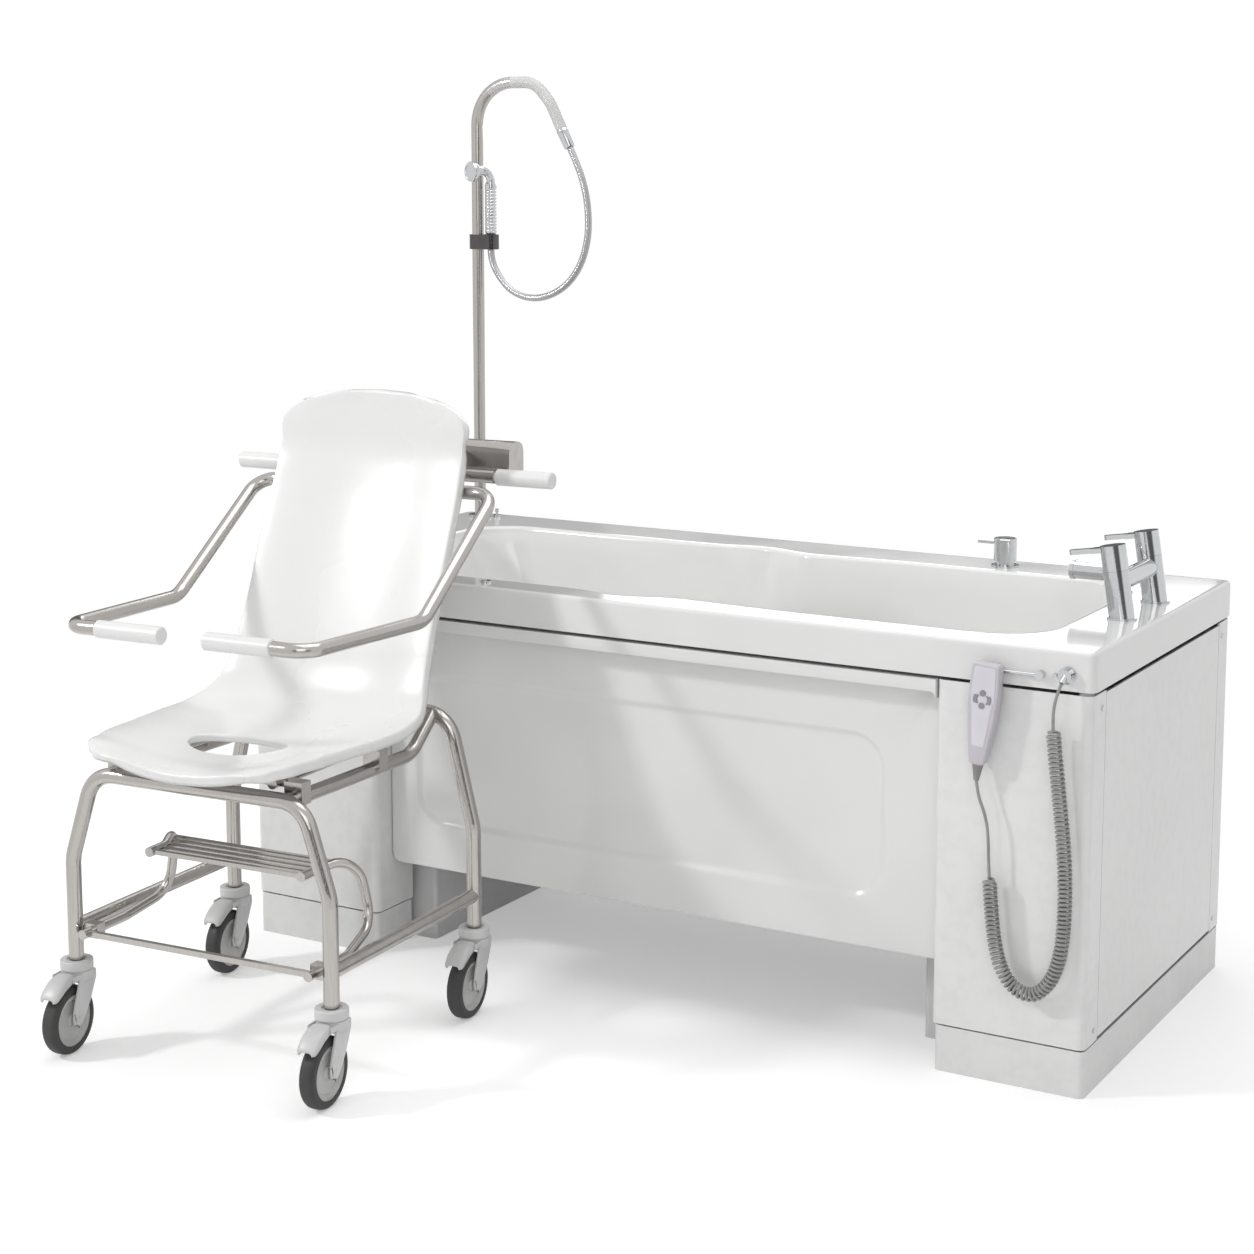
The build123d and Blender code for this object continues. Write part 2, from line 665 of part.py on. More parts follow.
def hand_shower():
    """Hand shower: tail in the clamp, ribbed handle and a small round head."""
    tail = Pos(HAND_X, POLE_Y, (CLAMP_BOTTOM + CLAMP_TOP) / 2) * Cylinder(HOSE_R + 1, CLAMP_TOP - CLAMP_BOTTOM)
    z0 = CLAMP_TOP + SEAM
    handle = Pos(HAND_X, POLE_Y, (z0 + HAND_TOP) / 2) * Cylinder(HAND_R, HAND_TOP - z0)
    tail += Pos(HAND_X, POLE_Y, z0) * Cylinder(HOSE_R + 1, 4)
    neck = bent(
        [(HAND_X, POLE_Y, HAND_TOP - 4), (HAND_X, POLE_Y, HAND_TOP + 26), (HAND_X - 22, POLE_Y - 34, HAND_TOP + 26)],
        16, 9,
    )
    facing = Plane(origin=(HAND_X - 22, POLE_Y - 30, HAND_TOP + 24), z_dir=(-0.35, -0.94, 0))
    head = extrude(facing * Circle(HEAD_R), amount=14)
    return tail + handle + neck + head


# Handset

def handset_plane(y):
    """The handset's upright plane at depth y, turned by its lean, origin at the middle of its top."""
    lean = radians(HANDSET_LEAN)
    return Plane(origin=(HANDSET_X, y, HANDSET_TOP), x_dir=(cos(lean), 0, -sin(lean)), z_dir=(0, -1, 0))


def handset_outline(inset, length):
    """Rounded top, full shoulders and a long taper to the cord end."""
    half = HANDSET_WIDTH / 2 - inset
    low = -length + inset
    right = [(half - 2.5, -inset), (half, -58), (half - 4, low + 66), (half * 0.5, low)]
    left = [(-x, y) for x, y in reversed(right)]
    outline = make_face(Polyline(*right, *left, close=True))
    outline = fillet([v for v in outline.vertices() if v.Y > -inset - 1], 5)
    outline = fillet([v for v in outline.vertices() if low + 5 < v.Y < -50], 60)
    return fillet([v for v in outline.vertices() if v.Y < low + 1], 4)


BUTTON_Z = -62.0
BUTTON_TRAVEL = 0.8
BUTTON_OUT = 1.6
POCKET_DEPTH = 5.0
POCKET_GAP = 0.4
MEMBRANE_T = 0.8


def button_shapes():
    """Two round buttons, up and down, and a curved one on each side."""
    middle = (0.0, BUTTON_Z)
    up = Pos(middle[0], middle[1] + 11) * Circle(5.2)
    down = Pos(middle[0], middle[1] - 11) * Circle(5.2)
    arc = Circle(16) - Circle(9.5)
    left = Pos(*middle) * (arc & Pos(-13, 0) * Rectangle(12, 14))
    right = Pos(*middle) * (arc & Pos(13, 0) * Rectangle(12, 14))
    return up, down, left, right


def handset_body():
    """Handset housing, its hook over the hanger bar and the boot round the cord."""
    body = extrude(handset_plane(HANDSET_BACK) * handset_outline(0, HANDSET_LENGTH), amount=HANDSET_DEPTH)
    body = chamfer(body.faces().filter_by(Axis.Y).edges(), 2.5)
    pin_top = HANGER_Z + HANGER_PIN_R + SEAM
    x0, x1 = HANDSET_X - 12, HANDSET_X + 12
    hook = block(x0, x1, HANDSET_BACK - 1, FRONT - 1.5, pin_top, pin_top + 7)
    hook += block(x0, x1, FRONT - 5.5, FRONT - 1.5, pin_top - 12, pin_top + 7)
    low = handset_plane(HANDSET_BACK - HANDSET_DEPTH / 2)
    boot_top = low.from_local_coords(Vector(0, -HANDSET_LENGTH - 1, 0))
    boot_end = low.from_local_coords(Vector(0, -HANDSET_LENGTH - 30, 0))
    down = (boot_end - boot_top).normalized()
    boot = Solid.make_cone(11, 5, 31, Plane(origin=boot_top - down * 3, z_dir=down))
    pocket_floor = handset_plane(HANDSET_BACK - HANDSET_DEPTH + POCKET_DEPTH)
    pockets = [extrude(pocket_floor * offset(s, POCKET_GAP), amount=8) for s in button_shapes()]
    return body - pockets + hook + boot


def handset_face():
    """Pale membrane on the front, open at the buttons."""
    front = HANDSET_BACK - HANDSET_DEPTH
    sheet = extrude(handset_plane(front) * handset_outline(5.5, HANDSET_LENGTH - 28), amount=MEMBRANE_T)
    return sheet - [extrude(handset_plane(front + 1) * offset(s, POCKET_GAP), amount=4) for s in button_shapes()]


def handset_buttons():
    """Each button stands proud of the face and has room to travel."""
    depth = HANDSET_BACK - HANDSET_DEPTH + POCKET_DEPTH - BUTTON_TRAVEL - SEAM
    rise = POCKET_DEPTH - BUTTON_TRAVEL - SEAM + MEMBRANE_T + BUTTON_OUT
    return [extrude(handset_plane(depth) * s, amount=rise) for s in button_shapes()]


def handset_fittings():
    """Ribbed cord gland and the bar that the handset hangs on."""
    gland = None
    for depth, r in ((6, 15), (11, 13), (16, 11)):
        disc = bar((GLAND_X, FRONT, GLAND_Z), (GLAND_X, FRONT - depth, GLAND_Z), r)
        gland = disc if gland is None else gland + disc
    gland += bar((GLAND_X, FRONT - 12, GLAND_Z), CORD_UPPER[0], 5)
    gland += bar((GLAND_X - 22, FRONT, GLAND_Z - 2), (GLAND_X - 22, FRONT - 7, GLAND_Z - 2), 4)
    boss = bar((HANGER_X, FRONT, HANGER_Z), (HANGER_X, HANGER_PIN_Y - 4, HANGER_Z), 8)
    pin = bar((HANGER_X, HANGER_PIN_Y, HANGER_Z), (HANDSET_X - 18, HANGER_PIN_Y, HANGER_Z), HANGER_PIN_R)
    return group(gland, boss + pin)


CORD_UPPER = [
    (849, -423, 731), (844.5, -431, 712), (840.5, -433, 691), (839, -432, 669), (839.5, -431, 652),
]
COIL_PATH = [
    CORD_UPPER[-1], (844, -429, 603), (851, -428, 545), (858, -427, 486), (864, -427, 427),
    (866.5, -427, 368), (866, -427, 309), (860, -427, 253), (843, -427, 207), (813, -427, 179),
    (779, -427, 187), (754, -427, 219), (742, -427, 262), (735, -427, 314), (730, -427, 377),
]


def handset_exit():
    low = handset_plane(HANDSET_BACK - HANDSET_DEPTH / 2)
    end = low.from_local_coords(Vector(0, -HANDSET_LENGTH - 29, 0))
    return (end.X, end.Y, end.Z)


def cord_lower_points():
    end = handset_exit()
    return [
        COIL_PATH[-1], (727.7, -427, 406), (727, -427, 436), (724.5, -427, 466), (717.5, -427, 494),
        (706, -427, 519), end,
    ]


# Transfer chair

def leg_frame(y, bar_z):
    """Bent tube: two legs with a kink, and the bar across their tops."""
    points = [
        (-LEG_HALF_X, y, LEG_BOTTOM), (-LEG_HALF_X, y, LEG_KINK_Z), (-BAR_HALF, y, bar_z),
        (BAR_HALF, y, bar_z), (LEG_HALF_X, y, LEG_KINK_Z), (LEG_HALF_X, y, LEG_BOTTOM),
    ]
    tube = bent(points, [KINK_R, LEG_BEND_R, LEG_BEND_R, KINK_R], TUBE_R)
    stems = [
        bar((x, y, LEG_BOTTOM + 4), (x, y, LEG_BOTTOM - 34), STEM_R) for x in (-LEG_HALF_X, LEG_HALF_X)
    ]
    return tube + stems


UPPER_RAIL_FRONT = (RAIL_X, -LEG_HALF_Y, FRONT_BAR_Z - 2)
UPPER_RAIL_BEND = (RAIL_X, 160, 508)


def upper_rails(legs):
    """Rails that join the two leg frames and carry the seat."""
    one = bent([UPPER_RAIL_FRONT, UPPER_RAIL_BEND, (RAIL_X, LEG_HALF_Y, REAR_BAR_Z)], 70, RAIL_R) - legs
    return group(one, mirror_x(one))


ARM_RUN_X = LEG_HALF_X - 33
ARM_RUN_Z = LOWER_RAIL_Z - 6
FOOT_ARM_R = 9.0
GUIDE_Y = (4 - LEG_HALF_Y, 26 - LEG_HALF_Y)
FOOT_ARM_END = -LEG_HALF_Y - 22


def lower_rails(legs):
    """Low side rails, each with a guide for the footrest's arm."""
    one = bar((LEG_HALF_X, -LEG_HALF_Y, LOWER_RAIL_Z), (LEG_HALF_X, LEG_HALF_Y, LOWER_RAIL_Z), LOWER_RAIL_R)
    guide = block(ARM_RUN_X - 13, LEG_HALF_X - 6, *GUIDE_Y, ARM_RUN_Z - 13, ARM_RUN_Z + 13)
    guide -= bar((ARM_RUN_X, GUIDE_Y[0] - 5, ARM_RUN_Z), (ARM_RUN_X, GUIDE_Y[1] + 5, ARM_RUN_Z), FOOT_ARM_R + RUNNING)
    one = one + guide - legs
    return group(one, mirror_x(one))


FOOTREST_Z = 360.0
FOOTREST_HALF = ARM_RUN_X - 78
FOOTREST_FRONT = -165.0
SLAT_WIDTH = 9.0
SLAT_DEPTH = 8.0
SLATS = [
    # y of the slat's middle, half of its length
    (-157.0, FOOTREST_HALF), (-134.0, FOOTREST_HALF), (-111.0, FOOTREST_HALF + 3),
    (-88.0, FOOTREST_HALF + 13), (-66.0, FOOTREST_HALF + 23),
]


def footrest():
    """Slats between two tubes that end in C-shaped arms, which slide in the guides."""
    arm = bent(
        [
            (FOOTREST_HALF, FOOTREST_FRONT, FOOTREST_Z), (FOOTREST_HALF, -118, FOOTREST_Z),
            (FOOTREST_HALF + 35, -40, FOOTREST_Z + 12), (ARM_RUN_X - 19, -33, 246),
            (ARM_RUN_X, -140, ARM_RUN_Z), (ARM_RUN_X, FOOT_ARM_END, ARM_RUN_Z),
        ],
        [60, 55, 50, 60], FOOT_ARM_R,
    )
    slats = [
        block(-half, half, y - SLAT_WIDTH / 2, y + SLAT_WIDTH / 2, FOOTREST_Z - SLAT_DEPTH / 2, FOOTREST_Z + SLAT_DEPTH / 2)
        for y, half in SLATS
    ]
    tie = block(-ARM_RUN_X, ARM_RUN_X, FOOT_ARM_END + 9, FOOT_ARM_END + 19, ARM_RUN_Z - 5, ARM_RUN_Z + 5)
    return arm + mirror_x(arm) + slats + tie


# Castors: drawn about the stem axis, wheel towards -Y

def castor_fork():
    """Collar, housing and two cheeks down to the axle, with the hinge ears of the pedal."""
    top = LEG_BOTTOM - SEAM
    fork = Pos(0, 0, top - COLLAR_DEPTH / 2) * Cylinder(COLLAR_R, COLLAR_DEPTH)
    fork += Pos(0, 0, top - COLLAR_DEPTH - HOUSING_DEPTH / 2) * Cylinder(COLLAR_R - 1.5, HOUSING_DEPTH)
    cheek = make_hull([
        *(Pos(-CASTOR_TRAIL, WHEEL_R) * Circle(12)).edges(),
        *(Pos(6, top - 30) * Rectangle(40, 12)).edges(),
    ])
    for x in (FORK_INNER, -FORK_INNER - FORK_WALL):
        fork += extrude(Plane(origin=(x, 0, 0), x_dir=(0, 1, 0), z_dir=(1, 0, 0)) * cheek, amount=FORK_WALL)
    fork += block(-FORK_INNER - 1, FORK_INNER + 1, -14, 26, top - COLLAR_DEPTH - HOUSING_DEPTH, top - 24)
    outer = FORK_INNER + FORK_WALL + 3
    fork += bar((-outer, -CASTOR_TRAIL, WHEEL_R), (outer, -CASTOR_TRAIL, WHEEL_R), AXLE_R)
    for x in (PEDAL_HALF + SEAM, -PEDAL_HALF - SEAM - 3):
        fork += block(x, x + 3, PEDAL_PIVOT_Y - 5, -18, PEDAL_PIVOT_Z - 6, PEDAL_PIVOT_Z + 5)
    pin_end = PEDAL_HALF + SEAM + 2
    fork += bar((-pin_end, PEDAL_PIVOT_Y, PEDAL_PIVOT_Z), (pin_end, PEDAL_PIVOT_Y, PEDAL_PIVOT_Z), PEDAL_PIN_R)
    return fork - Pos(0, 0, top - 17) * Cylinder(STEM_R + RUNNING, 36)


def castor_tyre():
    tyre = Rot(0, 90, 0) * Cylinder(WHEEL_R, WHEEL_W)
    tyre = chamfer(tyre.edges().filter_by(GeomType.CIRCLE), TYRE_BEVEL)
    tyre -= Rot(0, 90, 0) * Cylinder(HUB_R, WHEEL_W + 2)
    return Pos(0, -CASTOR_TRAIL, WHEEL_R) * tyre


def castor_hub():
    hub = Rot(0, 90, 0) * Cylinder(HUB_R, WHEEL_W - 2)
    for side in (1, -1):
        hub -= Pos(side * (WHEEL_W / 2 - 1), 0, 0) * Rot(0, 90, 0) * (Cylinder(HUB_R - 5, 6) - Cylinder(12, 8))
    hub -= Rot(0, 90, 0) * Cylinder(AXLE_R + RUNNING, WHEEL_W)
    return Pos(0, -CASTOR_TRAIL, WHEEL_R) * hub


def castor_pedal():
    """Brake pedal: a hood on a hinge pin that slopes down over the front of the tyre."""
    side = make_face(Polyline(
        (-31.5, 149), (-31.5, 134), (-52, 131), (-84, 114), (-88, 120), (-60, 144), close=True,
    ))
    hood = extrude(Plane(origin=(-PEDAL_HALF, 0, 0), x_dir=(0, 1, 0), z_dir=(1, 0, 0)) * side, amount=2 * PEDAL_HALF)
    bore = bar((-30, PEDAL_PIVOT_Y, PEDAL_PIVOT_Z), (30, PEDAL_PIVOT_Y, PEDAL_PIVOT_Z), PEDAL_PIN_R + RUNNING)
    return hood - bore


# Seat unit

SEAT_STATIONS = [
    # y, z, lean from level in degrees, half width, rise of the edges
    (-300, 554, 6, 130, 9), (-293, 557, 4, 168, 15), (-274, 561, 2, 202, 22), (-225, 564, 0, 222, 23),
    (-115, 566, 0, 238, 21), (-10, 566, 0, 249, 20), (60, 567, 4, 248, 21), (118, 574, 18, 243, 26),
    (160, 596, 42, 232, 30), (186, 632, 60, 224, 30), (214, 700, 67, 218, 26), (276, 852, 67.9, 216, 24),
    (334, 994, 68.5, 213, 22), (350, 1045, 74, 210, 20), (354, 1105, 82, 203, 17),
    (356, 1132, 86, 174, 13), (356.5, 1150, 88, 128, 8), (356.5, 1160, 89, 74, 4),
]
LIP = 18.0


def seat_section(y, z, lean, half, rise):
    """A dished strip with both edges turned back."""
    plane = Plane(origin=(0, y, z), x_dir=(1, 0, 0), z_dir=(0, -cos(radians(lean)), -sin(radians(lean))))
    lip = LIP + rise * 0.2
    t = SHEET_T
    return plane * make_face([
        ThreePointArc((-half, rise), (0, 0), (half, rise)),
        Line((half, rise), (half + 1, rise - lip)),
        Line((half + 1, rise - lip), (half + 1 - t, rise - lip)),
        Line((half + 1 - t, rise - lip), (half - t, rise - t - 1)),
        ThreePointArc((half - t, rise - t - 1), (0, -t), (-half + t, rise - t - 1)),
        Line((-half + t, rise - t - 1), (-half - 1 + t, rise - lip)),
        Line((-half - 1 + t, rise - lip), (-half - 1, rise - lip)),
        Line((-half - 1, rise - lip), (-half, rise)),
    ])


APERTURE = (0.0, -115.0, 100.0, 66.0)


def seat_shell():
    """Moulded seat and back in one dished shell, with the oval opening."""
    shell = loft([seat_section(*s) for s in SEAT_STATIONS], ruled=True)
    x, y, a, b = APERTURE
    return shell - extrude(Pos(x, y, 520) * Ellipse(a, b), amount=120)


def seat_frame(shell):
    """Tubes under the seat and up the back, saddles, pads, side plates and the push bar."""
    foot = (SEAT_RAIL_X, BACK_FOOT_Y, SEAT_RAIL_Z)
    top = (SEAT_RAIL_X, BACK_TOP_Y, BACK_TOP_Z)
    rail = bent([(SEAT_RAIL_X, SEAT_RAIL_FRONT, SEAT_RAIL_Z), foot, top], 80, SEAT_RAIL_R)
    upper_rail = bar(UPPER_RAIL_FRONT, UPPER_RAIL_BEND, RAIL_R + RUNNING)
    for y in SADDLE_Y:
        rail += block(0, RAIL_X + 8, y - 8, y + 8, SEAT_RAIL_Z - 6, SEAT_RAIL_Z + 6)
        saddle = block(RAIL_X - 18, RAIL_X + 18, y - 14, y + 14, SADDLE_BOTTOM, SEAT_RAIL_Z + 6)
        reach = RAIL_R + RUNNING
        mouth = block(RAIL_X - reach, RAIL_X + reach, y - 15, y + 15, SADDLE_BOTTOM - 6, SADDLE_BOTTOM + 5)
        rail += saddle - upper_rail - mouth
        pad = block(SEAT_RAIL_X - 12, SEAT_RAIL_X + 12, y - 12, y + 12, SEAT_RAIL_Z, 590) - shell
        rail += pad.solids().sort_by(Axis.Z)[0]
    for z in BACK_PAD_Z:
        y = foot[1] + (top[1] - foot[1]) * (z - foot[2]) / (top[2] - foot[2])
        pad = block(SEAT_RAIL_X - 10, SEAT_RAIL_X + 10, y - 80, y, z - 12, z + 12) - shell
        rail += pad.solids().sort_by(Axis.Y)[-1]
    side_plate = make_face(Polyline(
        (ARM_PIVOT_Y - 6, ARM_PIVOT_Z - 20), (ARM_PIVOT_Y + 16, ARM_PIVOT_Z - 20),
        (BAR_Y + 20, BAR_Z - 12), (CHANNEL_Y[1] - 12, CHANNEL_Z[0] + 16),
        (CHANNEL_Y[1] - 12, CHANNEL_Z[1] - 12), (CHANNEL_Y[0] + 10, CHANNEL_Z[1] - 12),
        (BAR_Y - 40, BAR_Z + 18),
        (ARM_PIVOT_Y - 6, ARM_PIVOT_Z + 20), close=True,
    ))
    upright = Plane(origin=(SEAT_RAIL_X - 4, 0, 0), x_dir=(0, 1, 0), z_dir=(1, 0, 0))
    rail += extrude(upright * side_plate, amount=8)
    rail -= bar((0, ARM_PIVOT_Y, ARM_PIVOT_Z), (ARM_X, ARM_PIVOT_Y, ARM_PIVOT_Z), ARM_PIN_R + RUNNING)
    frame = rail + mirror_x(rail)
    return frame + bar((-BAR_REACH, BAR_Y, BAR_Z), (BAR_REACH, BAR_Y, BAR_Z), TUBE_R - 1)


def dock_channel(frame):
    """Oblong channel across the back, open below, that hooks on to the bath's lift."""
    x0, x1, y0, y1, z0, z1 = -CHANNEL_HALF, CHANNEL_HALF, *CHANNEL_Y, *CHANNEL_Z
    body = block(x0, x1, y0, y1, z0, z1)
    body = fillet(body.edges().filter_by(Axis.X).sort_by(Axis.Z)[-2:], 22)
    trough = block(x0 + 3, x1 - 3, y0 + 3, y1 - 3, z0 - 1, z1 - 3)
    trough = fillet(trough.edges().filter_by(Axis.X).sort_by(Axis.Z)[-2:], 19)
    return body - trough - frame


def chair_arm():
    """Right arm: pivot behind the back, sloping rail, level rest and front turn."""
    tube = bent(
        [
            (SEAT_RAIL_X + 16, ARM_PIVOT_Y, ARM_PIVOT_Z), (ARM_X, ARM_PIVOT_Y, ARM_PIVOT_Z),
            (ARM_X + 4, 76, ARM_REST_Z - 6), (ARM_X - 14, ARM_FRONT_Y, ARM_REST_Z),
            (ARM_GRIP_X[0] + 4, ARM_FRONT_Y, ARM_REST_Z),
        ],
        [42, 62, 40], TUBE_R - 1,
    )
    pin = bar((SEAT_RAIL_X + 17, ARM_PIVOT_Y, ARM_PIVOT_Z), (SEAT_RAIL_X - 12, ARM_PIVOT_Y, ARM_PIVOT_Z), ARM_PIN_R)
    return tube + pin


def arm_grip(arm):
    near, far = ARM_GRIP_X
    grip = bar((far, ARM_FRONT_Y, ARM_REST_Z), (near, ARM_FRONT_Y, ARM_REST_Z), GRIP_R)
    grip = chamfer(grip.edges().filter_by(GeomType.CIRCLE), GRIP_BEVEL)
    return grip - arm


def push_grips(frame):
    start = BAR_REACH + 4
    one = bar((start, BAR_Y, BAR_Z), (start + PUSH_GRIP_LENGTH, BAR_Y, BAR_Z), GRIP_R)
    one = chamfer(one.edges().filter_by(GeomType.CIRCLE), GRIP_BEVEL)
    one = one + bar((BAR_REACH - 1, BAR_Y, BAR_Z), (start + 4, BAR_Y, BAR_Z), 9) - frame
    return group(one, mirror_x(one))


# Placing and writing

def main():
    os.makedirs("parts", exist_ok=True)
    bath = {}
    bath["base_frame"] = base_frame()
    bath["plinths"] = plinths()
    bath["lower_shrouds"] = lower_shrouds(bath["base_frame"])
    bath["column_outers"] = column_outers()
    bath["lift_actuators"] = lift_actuators()
    bath["tub"] = tub()
    bath["side_panels"] = side_panels()
    bath["pedestal_covers"] = pedestal_covers()
    bath["end_panels"] = end_panels()
    bath["panel_screws"] = panel_screws()
    bath["lift_frame"] = lift_frame()
    bath["column_inners"] = column_inners()
    bath["upper_shrouds"] = upper_shrouds()
    bath["tub_fittings"] = tub_fittings()
    bath["mixer_body"] = mixer_body()
    bath["tap_lever_near"] = tap_lever(PILLAR_NEAR_Y)
    bath["tap_lever_far"] = tap_lever(PILLAR_FAR_Y)
    bath["diverter_knob"] = diverter_knob()
    bath["shower_pole"] = shower_pole()
    bath["pole_conduit"] = pole_conduit()
    bath["shower_hose"] = shower_hose()
    bath["shower_slider"] = shower_slider()
    bath["hand_shower"] = hand_shower()
    bath["handset_fittings"] = handset_fittings()
    bath["handset_body"] = handset_body()
    bath["handset_face"] = handset_face()
    names = ("button_up", "button_down", "button_left", "button_right")
    for name, shape in zip(names, handset_buttons()):
        bath[name] = shape
    bath["cord_upper"] = cord_tube("cord_upper", CORD_UPPER, CORD_R)
    bath["cord_coil"] = cord_tube("cord_coil", COIL_PATH, COIL_R, THICK_CORD_SIDES)
    bath["cord_lower"] = cord_tube("cord_lower", cord_lower_points(), CORD_R)

    chair = {}
    legs = group(leg_frame(-LEG_HALF_Y, FRONT_BAR_Z), leg_frame(LEG_HALF_Y, REAR_BAR_Z))
    chair["leg_frames"] = legs
    chair["chair_rails"] = group(upper_rails(legs), lower_rails(legs))
    chair["footrest"] = footrest()
    chair["seat_shell"] = seat_shell()
    frame = seat_frame(chair["seat_shell"])
    chair["seat_frame"] = frame
    chair["dock_channel"] = dock_channel(frame)
    chair["push_grips"] = push_grips(frame)
    arm = chair_arm()
    chair["arm_right"] = arm
    chair["arm_left"] = mirror_x(arm)
    grip = arm_grip(arm)
    chair["arm_grip_right"] = grip
    chair["arm_grip_left"] = mirror_x(grip)
    castor = {
        "castor_fork": castor_fork(), "castor_tyre": castor_tyre(),
        "castor_hub": castor_hub(), "castor_pedal": castor_pedal(),
    }
    corners = {"front_left": (-1, -1), "front_right": (1, -1), "rear_left": (-1, 1), "rear_right": (1, 1)}
    for corner, (sx, sy) in corners.items():
        spot = Pos(sx * LEG_HALF_X, sy * LEG_HALF_Y, 0) * Rot(0, 0, CASTOR_TURN)
        for kind, shape in castor.items():
            chair[f"{kind}_{corner}"] = spot * shape

    stand = Pos(CHAIR_X, CHAIR_Y, 0) * Rot(0, 0, CHAIR_TURN)
    nodes = dict(bath)
    nodes.update({name: stand * shape for name, shape in chair.items()})
    loose = ("shower_hose", "cord_upper", "cord_coil", "cord_lower")
    boxes = [shape.bounding_box() for name, shape in nodes.items() if name not in loose]
    low_y = min(b.min.Y for b in boxes)
    high_y = max(b.max.Y for b in boxes)
    low_x = min(b.min.X for b in boxes)
    high_x = max(b.max.X for b in boxes)
    shift = Pos(-(low_x + high_x) / 2, -(low_y + high_y) / 2, 0)
    print("bath centre at", round(-(low_x + high_x) / 2, 3), round(-(low_y + high_y) / 2, 3))
    for name, shape in nodes.items():
        export_step(shift * shape, f"parts/{name}.step")
    print(len(nodes), "nodes")


main()
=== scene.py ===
# %% [markdown]
# # An assisted bath and its transfer chair
# This lesson dresses a finished machine model as a studio photograph would show it.
# The model comes in as fixed parts, in metres, with +Z up and the floor at zero.
# Most visible parts get a smoother skin here, worked out from a few sizes of the real object.

# %% Load the machine model
import json
import math
import bpy
import numpy as np
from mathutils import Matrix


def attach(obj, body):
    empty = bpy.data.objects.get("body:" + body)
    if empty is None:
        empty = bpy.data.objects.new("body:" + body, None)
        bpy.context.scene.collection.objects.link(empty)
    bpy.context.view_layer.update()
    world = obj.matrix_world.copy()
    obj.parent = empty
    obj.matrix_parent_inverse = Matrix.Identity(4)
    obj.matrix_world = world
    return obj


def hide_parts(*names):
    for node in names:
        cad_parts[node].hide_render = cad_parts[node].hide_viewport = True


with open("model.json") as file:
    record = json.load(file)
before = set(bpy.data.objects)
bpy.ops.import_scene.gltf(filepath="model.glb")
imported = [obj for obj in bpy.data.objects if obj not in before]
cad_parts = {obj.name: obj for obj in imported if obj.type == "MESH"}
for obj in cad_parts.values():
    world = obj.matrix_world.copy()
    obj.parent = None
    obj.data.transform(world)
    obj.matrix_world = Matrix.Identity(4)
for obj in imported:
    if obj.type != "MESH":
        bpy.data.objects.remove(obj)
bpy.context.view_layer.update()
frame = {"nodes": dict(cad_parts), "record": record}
nodes = frame["nodes"]

# %% [markdown]
# ## The camera
# A product photographer stands well back and uses a longish lens, so that the sides of the bath
# stay nearly parallel. The lens looks a little down, and a vertical shift keeps the set in frame.

# %% Camera
BATH_Y = 0.385336
CAMERA_PLACE = (2.1813, -4.1592 + BATH_Y, 1.6162)
CAMERA_YAW = math.radians(30.2035)
CAMERA_PITCH = math.radians(7.8048)


def add_camera():
    data = bpy.data.cameras.new("camera")
    data.lens = 68.21
    data.sensor_width = 36.0
    data.shift_y = -0.12
    camera = bpy.data.objects.new("camera", data)
    camera.location = CAMERA_PLACE
    camera.rotation_euler = (math.pi / 2 - CAMERA_PITCH, 0, CAMERA_YAW)
    bpy.context.scene.collection.objects.link(camera)
    bpy.context.scene.camera = camera
    return camera


print("camera at", tuple(round(c, 2) for c in add_camera().location))

# %% [markdown]
# ## Meshes from arrays
# Every new surface here is a grid of points that numpy works out in one go. The grid then becomes
# faces, and the mesh keeps its place in the room, so its object stays at the origin.

# %% Grid to mesh
def mesh_object(name, points, faces, smooth=True):
    """A mesh from an array of points and a list of faces, each a tuple of point numbers."""
    mesh = bpy.data.meshes.new(name)
    mesh.from_pydata([tuple(p) for p in np.asarray(points)], [], faces)
    mesh.validate()
    mesh.shade_smooth() if smooth else mesh.shade_flat()
    obj = bpy.data.objects.new(name, mesh)
    bpy.context.scene.collection.objects.link(obj)
    return obj


def grid_faces(rows, columns, closed_rows=False, closed_columns=False):
    """Quads of a grid whose point number is row * columns + column."""
    r = np.arange(rows if closed_rows else rows - 1)
    c = np.arange(columns if closed_columns else columns - 1)
    r, c = np.meshgrid(r, c, indexing="ij")
    r2, c2 = (r + 1) % rows, (c + 1) % columns
    quads = np.stack([r * columns + c, r * columns + c2, r2 * columns + c2, r2 * columns + c], axis=-1)
    return [tuple(int(i) for i in q) for q in quads.reshape(-1, 4)]


def grid_object(name, grid, closed_rows=False, closed_columns=False, caps=False):
    """A smooth surface from a rows by columns grid of points; caps close both ends with a face."""
    rows, columns = grid.shape[:2]
    faces = grid_faces(rows, columns, closed_rows, closed_columns)
    if caps:
        faces.append(tuple(range(columns))[::-1])
        faces.append(tuple(range((rows - 1) * columns, rows * columns)))
    return mesh_object(name, grid.reshape(-1, 3), faces)


# %% Join pieces of one finish
def points_of(obj):
    co = np.empty(len(obj.data.vertices) * 3)
    obj.data.vertices.foreach_get("co", co)
    return co.reshape(-1, 3)


def joined(name, *parts):
    """One object from several, so that a built-up part stays a single piece."""
    points, faces, start = [], [], 0
    for part in parts:
        points.append(points_of(part))
        faces += [tuple(start + i for i in p.vertices) for p in part.data.polygons]
        start += len(part.data.vertices)
        bpy.data.objects.remove(part)
    return mesh_object(name, np.concatenate(points), faces)


def outward(obj):
    """Turns every face outwards, as a closed shape made by mirroring needs."""
    bpy.context.view_layer.objects.active = obj
    import bmesh
    sheet = bmesh.new()
    sheet.from_mesh(obj.data)
    bmesh.ops.recalc_face_normals(sheet, faces=sheet.faces)
    sheet.to_mesh(obj.data)
    sheet.free()
    return obj


